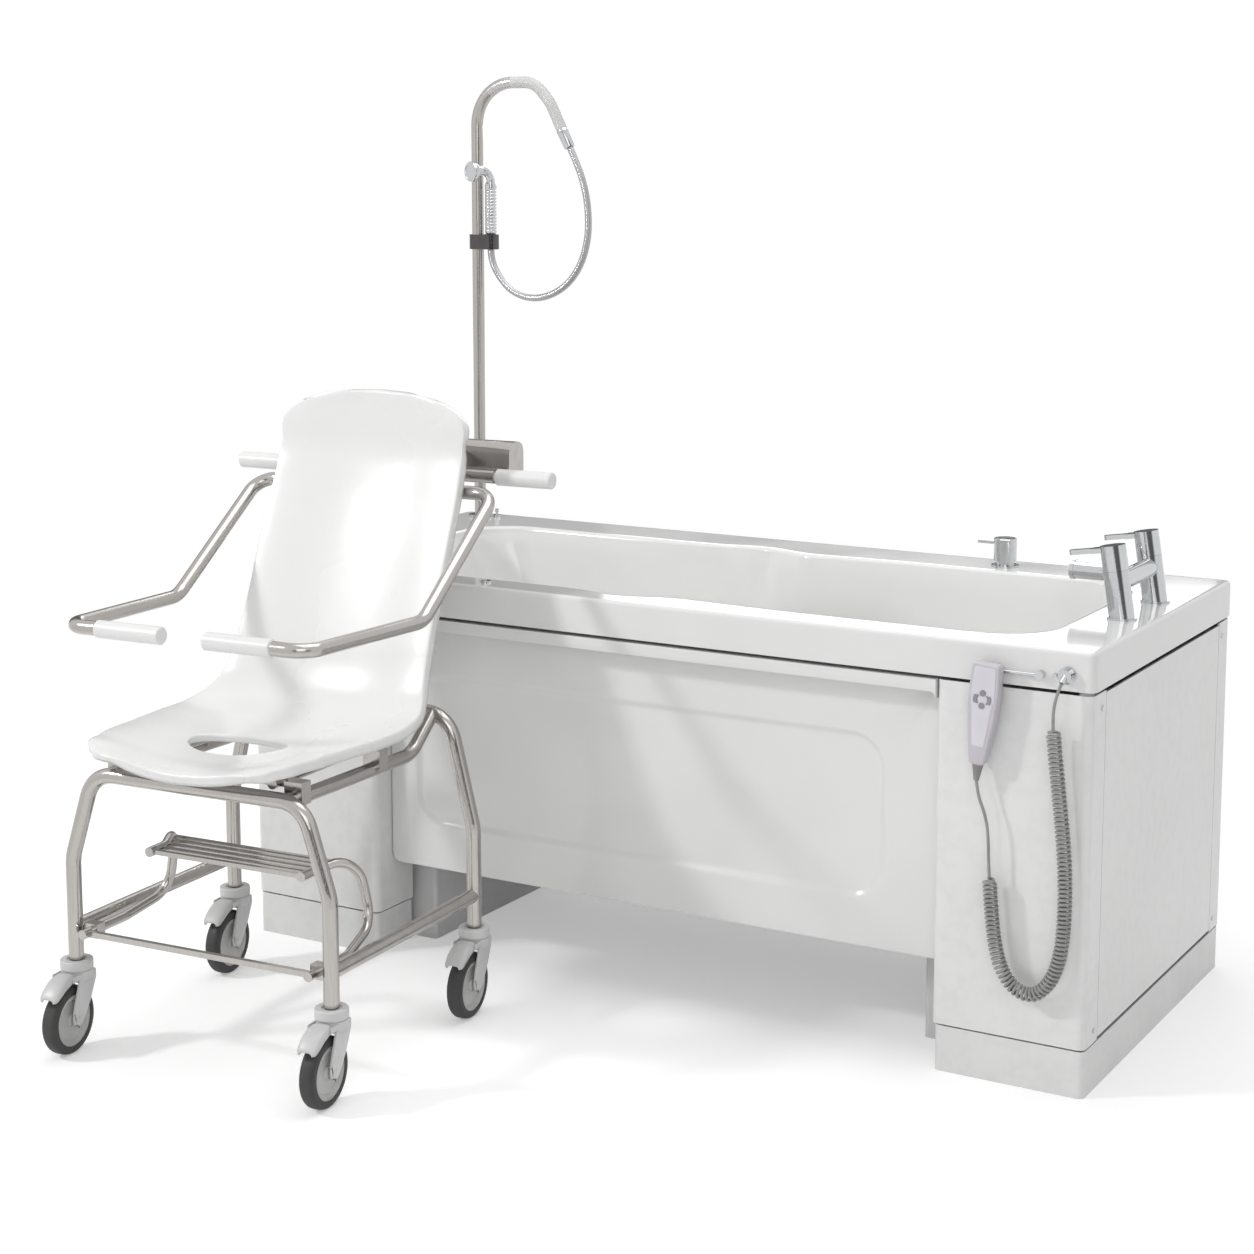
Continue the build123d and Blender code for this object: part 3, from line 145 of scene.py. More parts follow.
# %% [markdown]
# ## Crisp edges on smooth skins
# A turned cap or a plate has soft sides and sharp rims. Smooth shading alone would smear the light
# over a rim, so every edge sharper than a set angle is marked, and the shading breaks there.

# %% Sharp rims
def crisp(obj, angle=35):
    """Smooth shading that breaks at edges sharper than the angle, in degrees."""
    obj.data.set_sharp_from_angle(angle=math.radians(angle))
    return obj


# %% [markdown]
# ## Paths with true bends
# A bent tube is straight runs joined by arcs. Each corner of the route is swapped for an arc that
# touches both runs, and the arc is walked in even steps of angle.

# %% Rounded path
def rounded_path(corners, radii, step=math.radians(6)):
    """The route through the corners, each inner corner an arc of its own radius, as an array of points."""
    corners = np.asarray(corners, float)
    radii = np.broadcast_to(radii, len(corners) - 2)
    points = [corners[:1]]
    for before, corner, after, radius in zip(corners, corners[1:], corners[2:], radii):
        a = (before - corner) / np.linalg.norm(before - corner)
        b = (after - corner) / np.linalg.norm(after - corner)
        inside = math.acos(np.clip(a @ b, -1, 1))
        reach = radius / math.tan(inside / 2)
        centre = corner + (a + b) / np.linalg.norm(a + b) * radius / math.sin(inside / 2)
        start, end = corner + a * reach - centre, corner + b * reach - centre
        turn = math.pi - inside
        t = np.linspace(0, turn, max(3, int(math.ceil(turn / step)) + 1))[:, None]
        points.append(centre + (np.sin(turn - t) * start + np.sin(t) * end) / math.sin(turn))
    points.append(corners[-1:])
    return np.concatenate(points)


print("a quarter bend has", len(rounded_path([(0, 0, 0), (1, 0, 0), (1, 1, 0)], 0.3)), "points")

# %% Frames along a path
def path_frames(path, up=None):
    """Two unit normals at each point. They follow the path without twisting about it."""
    path = np.asarray(path, float)
    tangent = np.gradient(path, axis=0)
    tangent /= np.linalg.norm(tangent, axis=1)[:, None]
    first = np.array(up if up is not None else (0, 0, 1), float)
    if abs(first @ tangent[0]) > 0.95:
        first = np.array((1.0, 0, 0))
    normal = np.empty_like(path)
    normal[0] = first - (first @ tangent[0]) * tangent[0]
    normal[0] /= np.linalg.norm(normal[0])
    for i in range(1, len(path)):
        n = normal[i - 1] - (normal[i - 1] @ tangent[i]) * tangent[i]
        normal[i] = n / np.linalg.norm(n)
    return tangent, normal, np.cross(tangent, normal)


# %% [markdown]
# ## Round tubes
# A tube is a circle carried along a path. Its radius may change on the way, which also makes
# rounded ends, ribs and swellings. The ends roll over a small edge instead of stopping square.

# %% Tube
def tube_grid(path, radius, sides=32):
    """Points path(s) + r(s) * (cos a * n + sin a * b) for a round tube, b and n across the path."""
    path = np.asarray(path, float)
    _, n, b = path_frames(path)
    radius = np.broadcast_to(radius, len(path))[:, None, None]
    a = np.linspace(0, 2 * math.pi, sides, endpoint=False)[None, :, None]
    return path[:, None] + radius * (np.cos(a) * n[:, None] + np.sin(a) * b[:, None])


def tube(name, corners, radii, radius, sides=32, edge=0.0015):
    """A round tube through the corners. Its ends roll in over the edge, a quarter circle."""
    path = rounded_path(corners, radii) if len(corners) > 2 else np.asarray(corners, float)
    first, last = path[0] - path[1], path[-1] - path[-2]
    first, last = first / np.linalg.norm(first), last / np.linalg.norm(last)
    t = np.array((1.0, 0.7, 0.3, 0.0))[:, None] * math.pi / 2
    head = path[0] - first * edge * (1 - np.sin(t))
    tail = path[-1] - last * edge * (1 - np.sin(t[::-1]))
    path = np.concatenate([head, path[1:-1], tail])
    r = np.full(len(path), radius)
    r[:4] -= edge * (1 - np.cos(t[:, 0]))
    r[-4:] -= edge * (1 - np.cos(t[::-1, 0]))
    return grid_object(name, tube_grid(path, r, sides), closed_columns=True, caps=True)


# %% Turned pieces
def turned(name, profile, place=(0, 0, 0), axis=(0, 0, 1), sides=48):
    """A lathe surface: each (height, radius) of the profile is a circle about the axis."""
    profile = np.asarray(profile, float)
    axis = np.asarray(axis, float) / np.linalg.norm(axis)
    side = np.cross(axis, (0, 1, 0) if abs(axis[1]) < 0.9 else (1, 0, 0))
    side /= np.linalg.norm(side)
    other = np.cross(axis, side)
    a = np.linspace(0, 2 * math.pi, sides, endpoint=False)[None, :, None]
    height = profile[:, 0][:, None, None]
    radius = np.maximum(profile[:, 1], 1e-5)[:, None, None]
    grid = np.asarray(place) + height * axis + radius * (np.cos(a) * side + np.sin(a) * other)
    return crisp(grid_object(name, grid, closed_columns=True, caps=True))


def rounded_profile(profile, edge, steps=4):
    """A lathe profile whose inner corners are rounded by arcs of radius edge."""
    flat = [(h, r, 0) for h, r in profile]
    return rounded_path(flat, edge, step=math.pi / 2 / steps)[:, :2]


# %% [markdown]
# ## Plates
# A plate is a closed outline carried straight through its thickness, with both rims rolled over.
# The outline's corners are true arcs, written as a weighted parabola so that every corner has the
# same number of points, whatever its angle. Two outlines made this way can be joined point to point.

# %% Outlines and plates
def loop(corners, reaches, arc=7, run=2):
    """A closed outline. Each corner c is swapped for an arc from a to b, both its reach away:
    ((1-t)^2 a + 2 w t (1-t) c + t^2 b) / ((1-t)^2 + 2 w t (1-t) + t^2), w the sine of the half angle."""
    c = np.asarray(corners, float)
    before, after = np.roll(c, 1, axis=0) - c, np.roll(c, -1, axis=0) - c
    u = before / np.linalg.norm(before, axis=1)[:, None]
    v = after / np.linalg.norm(after, axis=1)[:, None]
    reach = np.broadcast_to(np.asarray(reaches, float), len(c))[:, None]
    a, b = c + u * reach, c + v * reach
    w = np.sqrt(np.clip((1 - (u * v).sum(1)) / 2, 0, 1))[:, None, None]
    t = np.linspace(0, 1, arc)[None, :, None]
    middle = 2 * w * t * (1 - t)
    bend = ((1 - t) ** 2 * a[:, None] + middle * c[:, None] + t ** 2 * b[:, None]) / ((1 - t) ** 2 + middle + t ** 2)
    s = np.linspace(0, 1, run + 2)[1:-1][None, :, None]
    straight = (1 - s) * b[:, None] + s * np.roll(a, -1, axis=0)[:, None]
    return np.concatenate([bend, straight], axis=1).reshape(-1, c.shape[1])


def inset(outline, by):
    """The outline moved inwards along its own normals. It runs anticlockwise."""
    along = np.roll(outline, -1, axis=0) - np.roll(outline, 1, axis=0)
    along /= np.linalg.norm(along, axis=1)[:, None]
    return outline + by * np.stack([-along[:, 1], along[:, 0]], axis=1)


def anticlockwise(outline):
    x, y = outline.T
    area = (x * np.roll(y, -1) - np.roll(x, -1) * y).sum()
    return outline if area > 0 else outline[::-1]


def plate(name, outline, origin, x_dir, y_dir, depth, edge=0.001, steps=3):
    """A plate of the outline, from the plane of x_dir and y_dir to depth along their cross product."""
    outline = anticlockwise(np.asarray(outline, float))
    x_dir, y_dir = np.asarray(x_dir, float), np.asarray(y_dir, float)
    normal = np.cross(x_dir, y_dir)
    t = np.linspace(0, math.pi / 2, steps + 1)
    insets = edge * (1 - np.sin(t))
    heights = edge * (1 - np.cos(t))
    insets = np.r_[insets, insets[::-1]]
    heights = np.r_[heights, depth - heights[::-1]]
    rings = np.stack([inset(outline, i) for i in insets])
    grid = np.asarray(origin) + rings[..., :1] * x_dir + rings[..., 1:] * y_dir + heights[:, None, None] * normal
    return crisp(outward(grid_object(name, grid, closed_columns=True, caps=True)))


def brick(name, low, high, r=0.002, edge=0.001):
    """A rounded block between two corners, its upright edges rounded by r."""
    (x0, y0, z0), (x1, y1, z1) = low, high
    outline = loop([(x0, y0), (x1, y0), (x1, y1), (x0, y1)], r)
    return plate(name, outline, (0, 0, z0), (1, 0, 0), (0, 1, 0), z1 - z0, edge)


print("a plate corner has", 7, "points")

# %% [markdown]
# ## The chair's own frame
# The chair stands in front of the bath, turned a little. Its parts are drawn about the middle of
# its four castors and then turned and moved to their place.

# %% Place on the chair
CHAIR_PLACE = np.array((-0.5048, -0.8218 + BATH_Y, 0.0))
CHAIR_TURN = math.radians(3.4)
BATH_PLACE = np.array((0.0, BATH_Y, 0.0))
PIECES = []


def turn_z(points, angle):
    c, s = math.cos(angle), math.sin(angle)
    return np.asarray(points, float) @ np.array([(c, s, 0), (-s, c, 0), (0, 0, 1)])


def on_chair(points):
    return turn_z(points, CHAIR_TURN) + CHAIR_PLACE


def on_bath(points):
    return np.asarray(points, float) + BATH_PLACE


def mirrored(points):
    return np.asarray(points, float) * (-1, 1, 1)


def move_mesh(obj, place):
    """Carries every point of the mesh through the function place."""
    mesh = obj.data
    mesh.vertices.foreach_set("co", np.ascontiguousarray(place(points_of(obj))).ravel())
    mesh.update()
    return obj


def mounted(obj, body, slot, *replaced, place=on_bath):
    """Moves a piece to its place, hangs it on its body, hides the parts that it replaces and keeps its finish for the
    end.
    """
    move_mesh(obj, place)
    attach(obj, body)
    if replaced:
        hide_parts(*replaced)
    PIECES.append((obj, slot))
    return obj


def both_sides(make, name):
    """The piece and its mirror image across the middle, as one object."""
    return outward(joined(name, make(name + "_a"), move_mesh(make(name + "_b"), mirrored)))


print("chair stands at", CHAIR_PLACE.round(3))
# %% [markdown]
# ## The cords
# The handset hangs on a curly cord, and the shower on a ribbed hose. A free cord is a smooth
# spline through a few listed points, with square and even spacing where it bends most.

# %% Smooth cord lines
CORD_UPPER = [
    (0.849, -0.423, 0.731), (0.8445, -0.431, 0.712), (0.8405, -0.433, 0.691), (0.839, -0.432, 0.669),
    (0.8395, -0.431, 0.652),
]
COIL_PATH = [
    (0.8395, -0.431, 0.652), (0.844, -0.429, 0.603), (0.851, -0.428, 0.545), (0.858, -0.427, 0.486),
    (0.864, -0.427, 0.427), (0.8665, -0.427, 0.368), (0.866, -0.427, 0.309), (0.860, -0.427, 0.253),
    (0.843, -0.427, 0.207), (0.813, -0.427, 0.179), (0.779, -0.427, 0.187), (0.754, -0.427, 0.219),
    (0.742, -0.427, 0.262), (0.735, -0.427, 0.314), (0.730, -0.427, 0.377),
]
CORD_LOWER = [
    (0.730, -0.427, 0.377), (0.7277, -0.427, 0.406), (0.727, -0.427, 0.436), (0.7245, -0.427, 0.466),
    (0.7175, -0.427, 0.494), (0.706, -0.427, 0.519), (0.70196, -0.426, 0.54679),
]
HOSE = [
    (-0.5836, 0.342, 1.623), (-0.5611, 0.342, 1.580), (-0.543, 0.342, 1.526), (-0.536, 0.342, 1.470),
    (-0.539, 0.342, 1.418), (-0.556, 0.342, 1.366), (-0.590, 0.342, 1.322), (-0.637, 0.342, 1.295),
    (-0.688, 0.342, 1.287), (-0.738, 0.342, 1.301), (-0.774, 0.342, 1.336), (-0.794, 0.342, 1.374),
    (-0.794, 0.342, 1.396),
]


def cord_line(points):
    """The smooth NURBS line of a cord, as points about a millimetre apart."""
    curve = bpy.data.curves.new("line", "CURVE")
    curve.dimensions = "3D"
    spline = curve.splines.new("NURBS")
    spline.points.add(len(points) - 1)
    spline.points.foreach_set("co", np.c_[on_bath(points), np.ones(len(points))].ravel())
    spline.order_u = 3
    spline.use_endpoint_u = True
    curve.resolution_u = 24
    holder = bpy.data.objects.new("line", curve)
    mesh = bpy.data.meshes.new_from_object(holder)
    line = np.empty(len(mesh.vertices) * 3)
    mesh.vertices.foreach_get("co", line)
    bpy.data.objects.remove(holder)
    bpy.data.curves.remove(curve)
    bpy.data.meshes.remove(mesh)
    line = line.reshape(-1, 3)
    return line if np.allclose(line[0], on_bath(points)[0], atol=1e-4) else line[::-1]


def length_of(line):
    return float(np.linalg.norm(np.diff(line, axis=0), axis=1).sum())


def evenly(line, spacing):
    """The same line with points an even distance apart."""
    walked = np.r_[0, np.cumsum(np.linalg.norm(np.diff(line, axis=0), axis=1))]
    at = np.linspace(0, walked[-1], max(3, int(round(walked[-1] / spacing)) + 1))
    return np.stack([np.interp(at, walked, line[:, k]) for k in range(3)], axis=1)


# %% Curly cord
CORD_RADIUS = 0.00275
COIL_RADIUS = 0.0102
CURLS = 92


def curly_line(points, curls, radius, per_turn=16):
    """A helix about the cord's own line: line(s) + r(s) * (cos 2 pi n s * a + sin 2 pi n s * b).
    The radius r swells from nothing over the first and last curl."""
    base = evenly(cord_line(points), 0.004)
    _, n, b = path_frames(base)
    s = np.linspace(0, 1, curls * per_turn + 1)
    at = np.linspace(0, 1, len(base))
    centre, n, b = (np.stack([np.interp(s, at, v[:, k]) for k in range(3)], axis=1) for v in (base, n, b))
    swell = np.clip(np.minimum(s, 1 - s) * curls / 0.9, 0, 1)
    r = radius * np.sin(swell * math.pi / 2)
    angle = 2 * math.pi * curls * s
    return centre + (r * np.cos(angle))[:, None] * n + (r * np.sin(angle))[:, None] * b


def cord_tube(name, line, radius, sides):
    return grid_object(name, tube_grid(line, radius, sides), closed_columns=True, caps=True)


def corded(name, node, line, body, sides=12, radius=CORD_RADIUS):
    obj = cord_tube(name, line, radius, sides)
    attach(obj, body)
    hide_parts(node)
    print(name, round(length_of(line), 3), "m")
    return obj


upper_line = evenly(cord_line(CORD_UPPER), 0.002)
curly = curly_line(COIL_PATH, CURLS, COIL_RADIUS)
lower_line = evenly(cord_line(CORD_LOWER), 0.002)
cords = [
    corded("cord_from_gland", "cord_upper", upper_line, "bath_lift"),
    corded("curly_cord", "cord_coil", curly, "bath_lift", sides=8),
    corded("cord_to_handset", "cord_lower", lower_line, "handset"),
]

# %% Shower hose
HOSE_RADIUS = 0.0078
hose_line = evenly(cord_line(HOSE), 0.00075)
ribs = 1 - 0.045 * (0.5 - 0.5 * np.cos(np.arange(len(hose_line)) * math.pi / 2))
shower_hose = cord_tube("ribbed_shower_hose", hose_line, HOSE_RADIUS * ribs, 20)
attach(shower_hose, "shower_hand")
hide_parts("shower_hose")
print("hose", round(length_of(hose_line), 3), "m")

# %% [markdown]
# ## The room
# The set stands on a seamless pale floor in a white room. The camera and the shiny metal see a
# white background, while the lamps alone decide how bright the object is. The floor stays a real
# matt surface near the set, so that it keeps the shadows, and turns plain white further away.

# %% Node helpers
def new_material(name):
    material = bpy.data.materials.new(name)
    material.use_nodes = True
    tree = material.node_tree
    tree.nodes.clear()
    return material, tree


def add_node(tree, kind, **settings):
    node = tree.nodes.new(kind)
    for key, value in settings.items():
        setattr(node, key, value)
    return node


def math_node(tree, operation, first, second=None, third=None):
    """A Math node fed by sockets or plain numbers. It returns the output socket."""
    node = add_node(tree, "ShaderNodeMath", operation=operation)
    for slot, value in enumerate((first, second, third)):
        if value is None:
            continue
        if isinstance(value, (int, float)):
            node.inputs[slot].default_value = value
        else:
            tree.links.new(value, node.inputs[slot])
    return node.outputs[0]


def soft_step(tree, value, low, high, out_low=0.0, out_high=1.0):
    """A smooth ramp of value from low to high."""
    node = add_node(tree, "ShaderNodeMapRange", interpolation_type="SMOOTHSTEP")
    tree.links.new(value, node.inputs["Value"])
    for key, number in (("From Min", low), ("From Max", high), ("To Min", out_low), ("To Max", out_high)):
        node.inputs[key].default_value = number
    return node.outputs["Result"]


def direct_rays(tree):
    """One for rays that show the background: from the camera, a mirror or glass."""
    rays = add_node(tree, "ShaderNodeLightPath")
    either = math_node(tree, "MAXIMUM", rays.outputs["Is Camera Ray"], rays.outputs["Is Glossy Ray"])
    return math_node(tree, "MAXIMUM", either, rays.outputs["Is Transmission Ray"])


# %% Floor
FLOOR_HALF = 14.0
FLOOR_NEAR = 1.25
FLOOR_FAR = 2.6
FLOOR_GLOW = 0.30


def floor_material():
    """Matt white with a faint glow for direct rays, and plain white beyond the set."""
    material, tree = new_material("studio floor")
    out = add_node(tree, "ShaderNodeOutputMaterial")
    matt = add_node(tree, "ShaderNodeBsdfDiffuse")
    matt.inputs["Color"].default_value = (0.86, 0.86, 0.86, 1)
    glow = add_node(tree, "ShaderNodeEmission")
    glow.inputs["Strength"].default_value = FLOOR_GLOW
    near = add_node(tree, "ShaderNodeAddShader")
    tree.links.new(matt.outputs[0], near.inputs[0])
    tree.links.new(glow.outputs[0], near.inputs[1])
    white = add_node(tree, "ShaderNodeEmission")
    place = add_node(tree, "ShaderNodeTexCoord")
    away = add_node(tree, "ShaderNodeVectorMath", operation="LENGTH")
    tree.links.new(place.outputs["Object"], away.inputs[0])
    far = soft_step(tree, away.outputs["Value"], FLOOR_NEAR, FLOOR_FAR)
    seen = add_node(tree, "ShaderNodeMixShader")
    tree.links.new(far, seen.inputs[0])
    tree.links.new(near.outputs[0], seen.inputs[1])
    tree.links.new(white.outputs[0], seen.inputs[2])
    surface = add_node(tree, "ShaderNodeMixShader")
    tree.links.new(direct_rays(tree), surface.inputs[0])
    tree.links.new(matt.outputs[0], surface.inputs[1])
    tree.links.new(seen.outputs[0], surface.inputs[2])
    tree.links.new(surface.outputs[0], out.inputs["Surface"])
    return material


def add_floor():
    corners = np.array([(-1, -1, 0), (1, -1, 0), (1, 1, 0), (-1, 1, 0)], float) * FLOOR_HALF
    floor = mesh_object("floor", corners, [(0, 1, 2, 3)])
    floor.data.materials.append(floor_material())
    return floor


print("floor half width", add_floor().data.vertices[1].co[0])

# %% [markdown]
# A white room alone would make chrome look like white paint. A photographer hangs dark cards
# between the lights, and tubes then show a dark streak with bright edges. Here two soft dark
# stripes in the room stand for the cards, and only shiny surfaces see them.

# %% World
CARD_TURN = math.radians(38.0)
WORLD_LIGHT = 0.50


def dark_cards(tree):
    """Brightness of the room by direction: 1 less a soft stripe where cos(2 (heading - turn)) is high,
    faded out above and below."""
    way = add_node(tree, "ShaderNodeTexCoord")
    parts = add_node(tree, "ShaderNodeSeparateXYZ")
    tree.links.new(way.outputs["Generated"], parts.inputs[0])
    heading = math_node(tree, "ARCTAN2", parts.outputs["Y"], parts.outputs["X"])
    doubled = math_node(tree, "MULTIPLY_ADD", heading, 2.0, 2 * CARD_TURN + math.radians(30))
    stripe = soft_step(tree, math_node(tree, "COSINE", doubled), 0.15, 0.75)
    level = math_node(tree, "ABSOLUTE", math_node(tree, "SUBTRACT", parts.outputs["Z"], 0.12))
    band = soft_step(tree, level, 0.12, 0.42, 1.0, 0.0)
    return math_node(tree, "SUBTRACT", 1.0, math_node(tree, "MULTIPLY", math_node(tree, "MULTIPLY", stripe, band), 0.86))


def white_world():
    world = bpy.data.worlds.new("white room")
    bpy.context.scene.world = world
    world.use_nodes = True
    tree = world.node_tree
    tree.nodes.clear()
    out = add_node(tree, "ShaderNodeOutputWorld")
    lit = add_node(tree, "ShaderNodeBackground")
    lit.inputs["Strength"].default_value = WORLD_LIGHT
    plain = add_node(tree, "ShaderNodeBackground")
    cards = add_node(tree, "ShaderNodeBackground")
    tree.links.new(dark_cards(tree), cards.inputs["Strength"])
    for node in (lit, plain, cards):
        node.inputs["Color"].default_value = (1, 1, 1, 1)
    rays = add_node(tree, "ShaderNodeLightPath")
    direct = add_node(tree, "ShaderNodeMixShader")
    tree.links.new(rays.outputs["Is Glossy Ray"], direct.inputs[0])
    tree.links.new(plain.outputs[0], direct.inputs[1])
    tree.links.new(cards.outputs[0], direct.inputs[2])
    mix = add_node(tree, "ShaderNodeMixShader")
    tree.links.new(direct_rays(tree), mix.inputs[0])
    tree.links.new(lit.outputs[0], mix.inputs[1])
    tree.links.new(direct.outputs[0], mix.inputs[2])
    tree.links.new(mix.outputs[0], out.inputs["Surface"])
    return world


bpy.context.scene.view_settings.view_transform = "Standard"
print("world:", white_world().name)

# %% [markdown]
# One firm lamp from the front left throws the chair's shadow on the side panel. Two large soft
# ones fill the front and the top, so that no white surface loses its shape.

# %% Lamps
def lamp(name, place, aim, size, watts, colour=(1, 1, 1)):
    """A square softbox at place that points at aim."""
    data = bpy.data.lights.new(name, "AREA")
    data.size = size
    data.energy = watts
    data.color = colour
    obj = bpy.data.objects.new(name, data)
    way = np.asarray(aim, float) - np.asarray(place, float)
    way /= np.linalg.norm(way)
    yaw = math.atan2(way[0], -way[1])
    obj.rotation_euler = (math.acos(-way[2]), 0, yaw + math.pi)
    obj.location = place
    bpy.context.scene.collection.objects.link(obj)
    return obj


lamp("key", (-3.4, -3.2, 3.4), (0.0, 0.1, 0.6), 0.5, 95)
lamp("fill", (2.6, -4.6, 2.6), (0.1, 0.0, 0.5), 3.0, 45)
lamp("top", (0.3, 0.4, 4.2), (0.2, 0.2, 0.4), 3.0, 50)
lamp("back", (-1.5, 4.6, 2.8), (0.0, 0.2, 0.5), 2.5, 40)
print("four lamps")

# %% [markdown]
# ## Finishes
# Real surfaces are never one even colour. Moulded plastic has a faint orange peel, steel tube is
# brushed along its length, and dust settles on what faces up. Sharp convex edges are made paler,
# which is both rubbed wear and a painted edge highlight. Each of these effects is built once
# as a node group, and every finish then uses it with values of its own.

# %% Node groups
def new_group(name, inputs, outputs):
    """A shader node group with named inputs (name, kind, value) and outputs (name, kind)."""
    group = bpy.data.node_groups.new(name, "ShaderNodeTree")
    for label, kind, value in inputs:
        socket = group.interface.new_socket(label, in_out="INPUT", socket_type=kind)
        if value is not None:
            socket.default_value = value
    for label, kind in outputs:
        group.interface.new_socket(label, in_out="OUTPUT", socket_type=kind)
    return group, add_node(group, "NodeGroupInput"), add_node(group, "NodeGroupOutput")


def peel_group():
    """Slow mottling in tone and a fine orange peel in height, from two scales of noise."""
    group, given, result = new_group(
        "moulded skin",
        [("Grain per metre", "NodeSocketFloat", 600.0), ("Grain depth", "NodeSocketFloat", 0.1),
         ("Mottle per metre", "NodeSocketFloat", 5.0)],
        [("Mottle", "NodeSocketFloat"), ("Normal", "NodeSocketVector")],
    )
    place = add_node(group, "ShaderNodeTexCoord")
    slow = add_node(group, "ShaderNodeTexNoise")
    slow.inputs["Detail"].default_value = 3.0
    fine = add_node(group, "ShaderNodeTexNoise")
    fine.inputs["Detail"].default_value = 2.0
    bump = add_node(group, "ShaderNodeBump")
    bump.inputs["Distance"].default_value = 0.0004
    for noise, label in ((slow, "Mottle per metre"), (fine, "Grain per metre")):
        group.links.new(place.outputs["Object"], noise.inputs["Vector"])
        group.links.new(given.outputs[label], noise.inputs["Scale"])
    group.links.new(given.outputs["Grain depth"], bump.inputs["Strength"])
    group.links.new(fine.outputs["Fac"], bump.inputs["Height"])
    group.links.new(soft_step(group, slow.outputs["Fac"], 0.3, 0.7), result.inputs["Mottle"])
    group.links.new(bump.outputs["Normal"], result.inputs["Normal"])
    return group


def brush_group():
    """Fine lines along one direction: noise that is stretched by a different scale on each axis."""
    group, given, result = new_group(
        "brushed lines",
        [("Lines per metre", "NodeSocketVector", (900.0, 900.0, 12.0)), ("Depth", "NodeSocketFloat", 0.1)],
        [("Lines", "NodeSocketFloat"), ("Normal", "NodeSocketVector")],
    )
    place = add_node(group, "ShaderNodeTexCoord")
    stretch = add_node(group, "ShaderNodeVectorMath", operation="MULTIPLY")
    noise = add_node(group, "ShaderNodeTexNoise")
    noise.inputs["Scale"].default_value = 1.0
    noise.inputs["Detail"].default_value = 3.0
    bump = add_node(group, "ShaderNodeBump")
    bump.inputs["Distance"].default_value = 0.0003
    group.links.new(place.outputs["Object"], stretch.inputs[0])
    group.links.new(given.outputs["Lines per metre"], stretch.inputs[1])
    group.links.new(stretch.outputs[0], noise.inputs["Vector"])
    group.links.new(noise.outputs["Fac"], bump.inputs["Height"])
    group.links.new(given.outputs["Depth"], bump.inputs["Strength"])
    group.links.new(noise.outputs["Fac"], result.inputs["Lines"])
    group.links.new(bump.outputs["Normal"], result.inputs["Normal"])
    return group


def dust_group():
    """A mask of fine dust: high where the surface faces up and a speckled noise is high."""
    group, given, result = new_group(
        "settled dust",
        [("Specks per metre", "NodeSocketFloat", 90.0), ("Amount", "NodeSocketFloat", 0.2)],
        [("Dust", "NodeSocketFloat")],
    )
    place = add_node(group, "ShaderNodeTexCoord")
    shape = add_node(group, "ShaderNodeNewGeometry")
    facing = add_node(group, "ShaderNodeSeparateXYZ")
    noise = add_node(group, "ShaderNodeTexNoise")
    noise.inputs["Detail"].default_value = 5.0
    group.links.new(place.outputs["Object"], noise.inputs["Vector"])
    group.links.new(given.outputs["Specks per metre"], noise.inputs["Scale"])
    group.links.new(shape.outputs["Normal"], facing.inputs[0])
    up = soft_step(group, facing.outputs["Z"], 0.3, 0.9)
    speck = soft_step(group, noise.outputs["Fac"], 0.45, 0.75)
    both = math_node(group, "MULTIPLY", up, speck)
    group.links.new(math_node(group, "MULTIPLY", both, given.outputs["Amount"]), result.inputs["Dust"])
    return group


def wear_and_highlight_group():
    """A mask of rubbed edges and painted edge highlights: high where the surface is sharply convex, broken up by noise.
    """
    group, given, result = new_group(
        "edge_wear_and_painted_highlight",
        [("Sharpness", "NodeSocketFloat", 0.55), ("Amount", "NodeSocketFloat", 0.3)],
        [("Wear and highlight", "NodeSocketFloat")],
    )
    place = add_node(group, "ShaderNodeTexCoord")
    shape = add_node(group, "ShaderNodeNewGeometry")
    noise = add_node(group, "ShaderNodeTexNoise")
    noise.inputs["Scale"].default_value = 40.0
    group.links.new(place.outputs["Object"], noise.inputs["Vector"])
    # Sharply convex edges, both for rubbed wear and for a painted edge highlight.
    over = math_node(group, "SUBTRACT", shape.outputs["Pointiness"], given.outputs["Sharpness"])
    edge = soft_step(group, over, 0.0, 0.08)
    broken = math_node(group, "MULTIPLY", edge, soft_step(group, noise.outputs["Fac"], 0.3, 0.6))
    group.links.new(math_node(group, "MULTIPLY", broken, given.outputs["Amount"]), result.inputs["Wear and highlight"])
    return group


PEEL, BRUSH, DUST, WEAR_AND_HIGHLIGHT = peel_group(), brush_group(), dust_group(), wear_and_highlight_group()
print("node groups:", [g.name for g in (PEEL, BRUSH, DUST, WEAR_AND_HIGHLIGHT)])

# %% Finish builder
def group_node(tree, group, **values):
    """A placed node group. Underscores in the keywords stand for the spaces in its input names."""
    node = add_node(tree, "ShaderNodeGroup", node_tree=group)
    for key, value in values.items():
        node.inputs[key.replace("_", " ")].default_value = value
    return node


def blend_colour(tree, factor, first, second):
    """first towards second by factor. Each is a colour or a socket."""
    mix = add_node(tree, "ShaderNodeMix", data_type="RGBA")
    tree.links.new(factor, mix.inputs["Factor"])
    for socket, value in ((mix.inputs[6], first), (mix.inputs[7], second)):
        if isinstance(value, tuple):
            socket.default_value = (*value, 1)
        else:
            tree.links.new(value, socket)
    return mix.outputs[2]


def shaded(name, metallic=0.0, coat=0.0):
    """A material with a Principled shader wired to its output, ready for its nodes."""
    material, tree = new_material(name)
    out = add_node(tree, "ShaderNodeOutputMaterial")
    shader = add_node(tree, "ShaderNodeBsdfPrincipled")
    shader.inputs["Metallic"].default_value = metallic
    shader.inputs["Coat Weight"].default_value = coat
    shader.inputs["Coat Roughness"].default_value = 0.06
    tree.links.new(shader.outputs[0], out.inputs["Surface"])
    return material, tree, shader


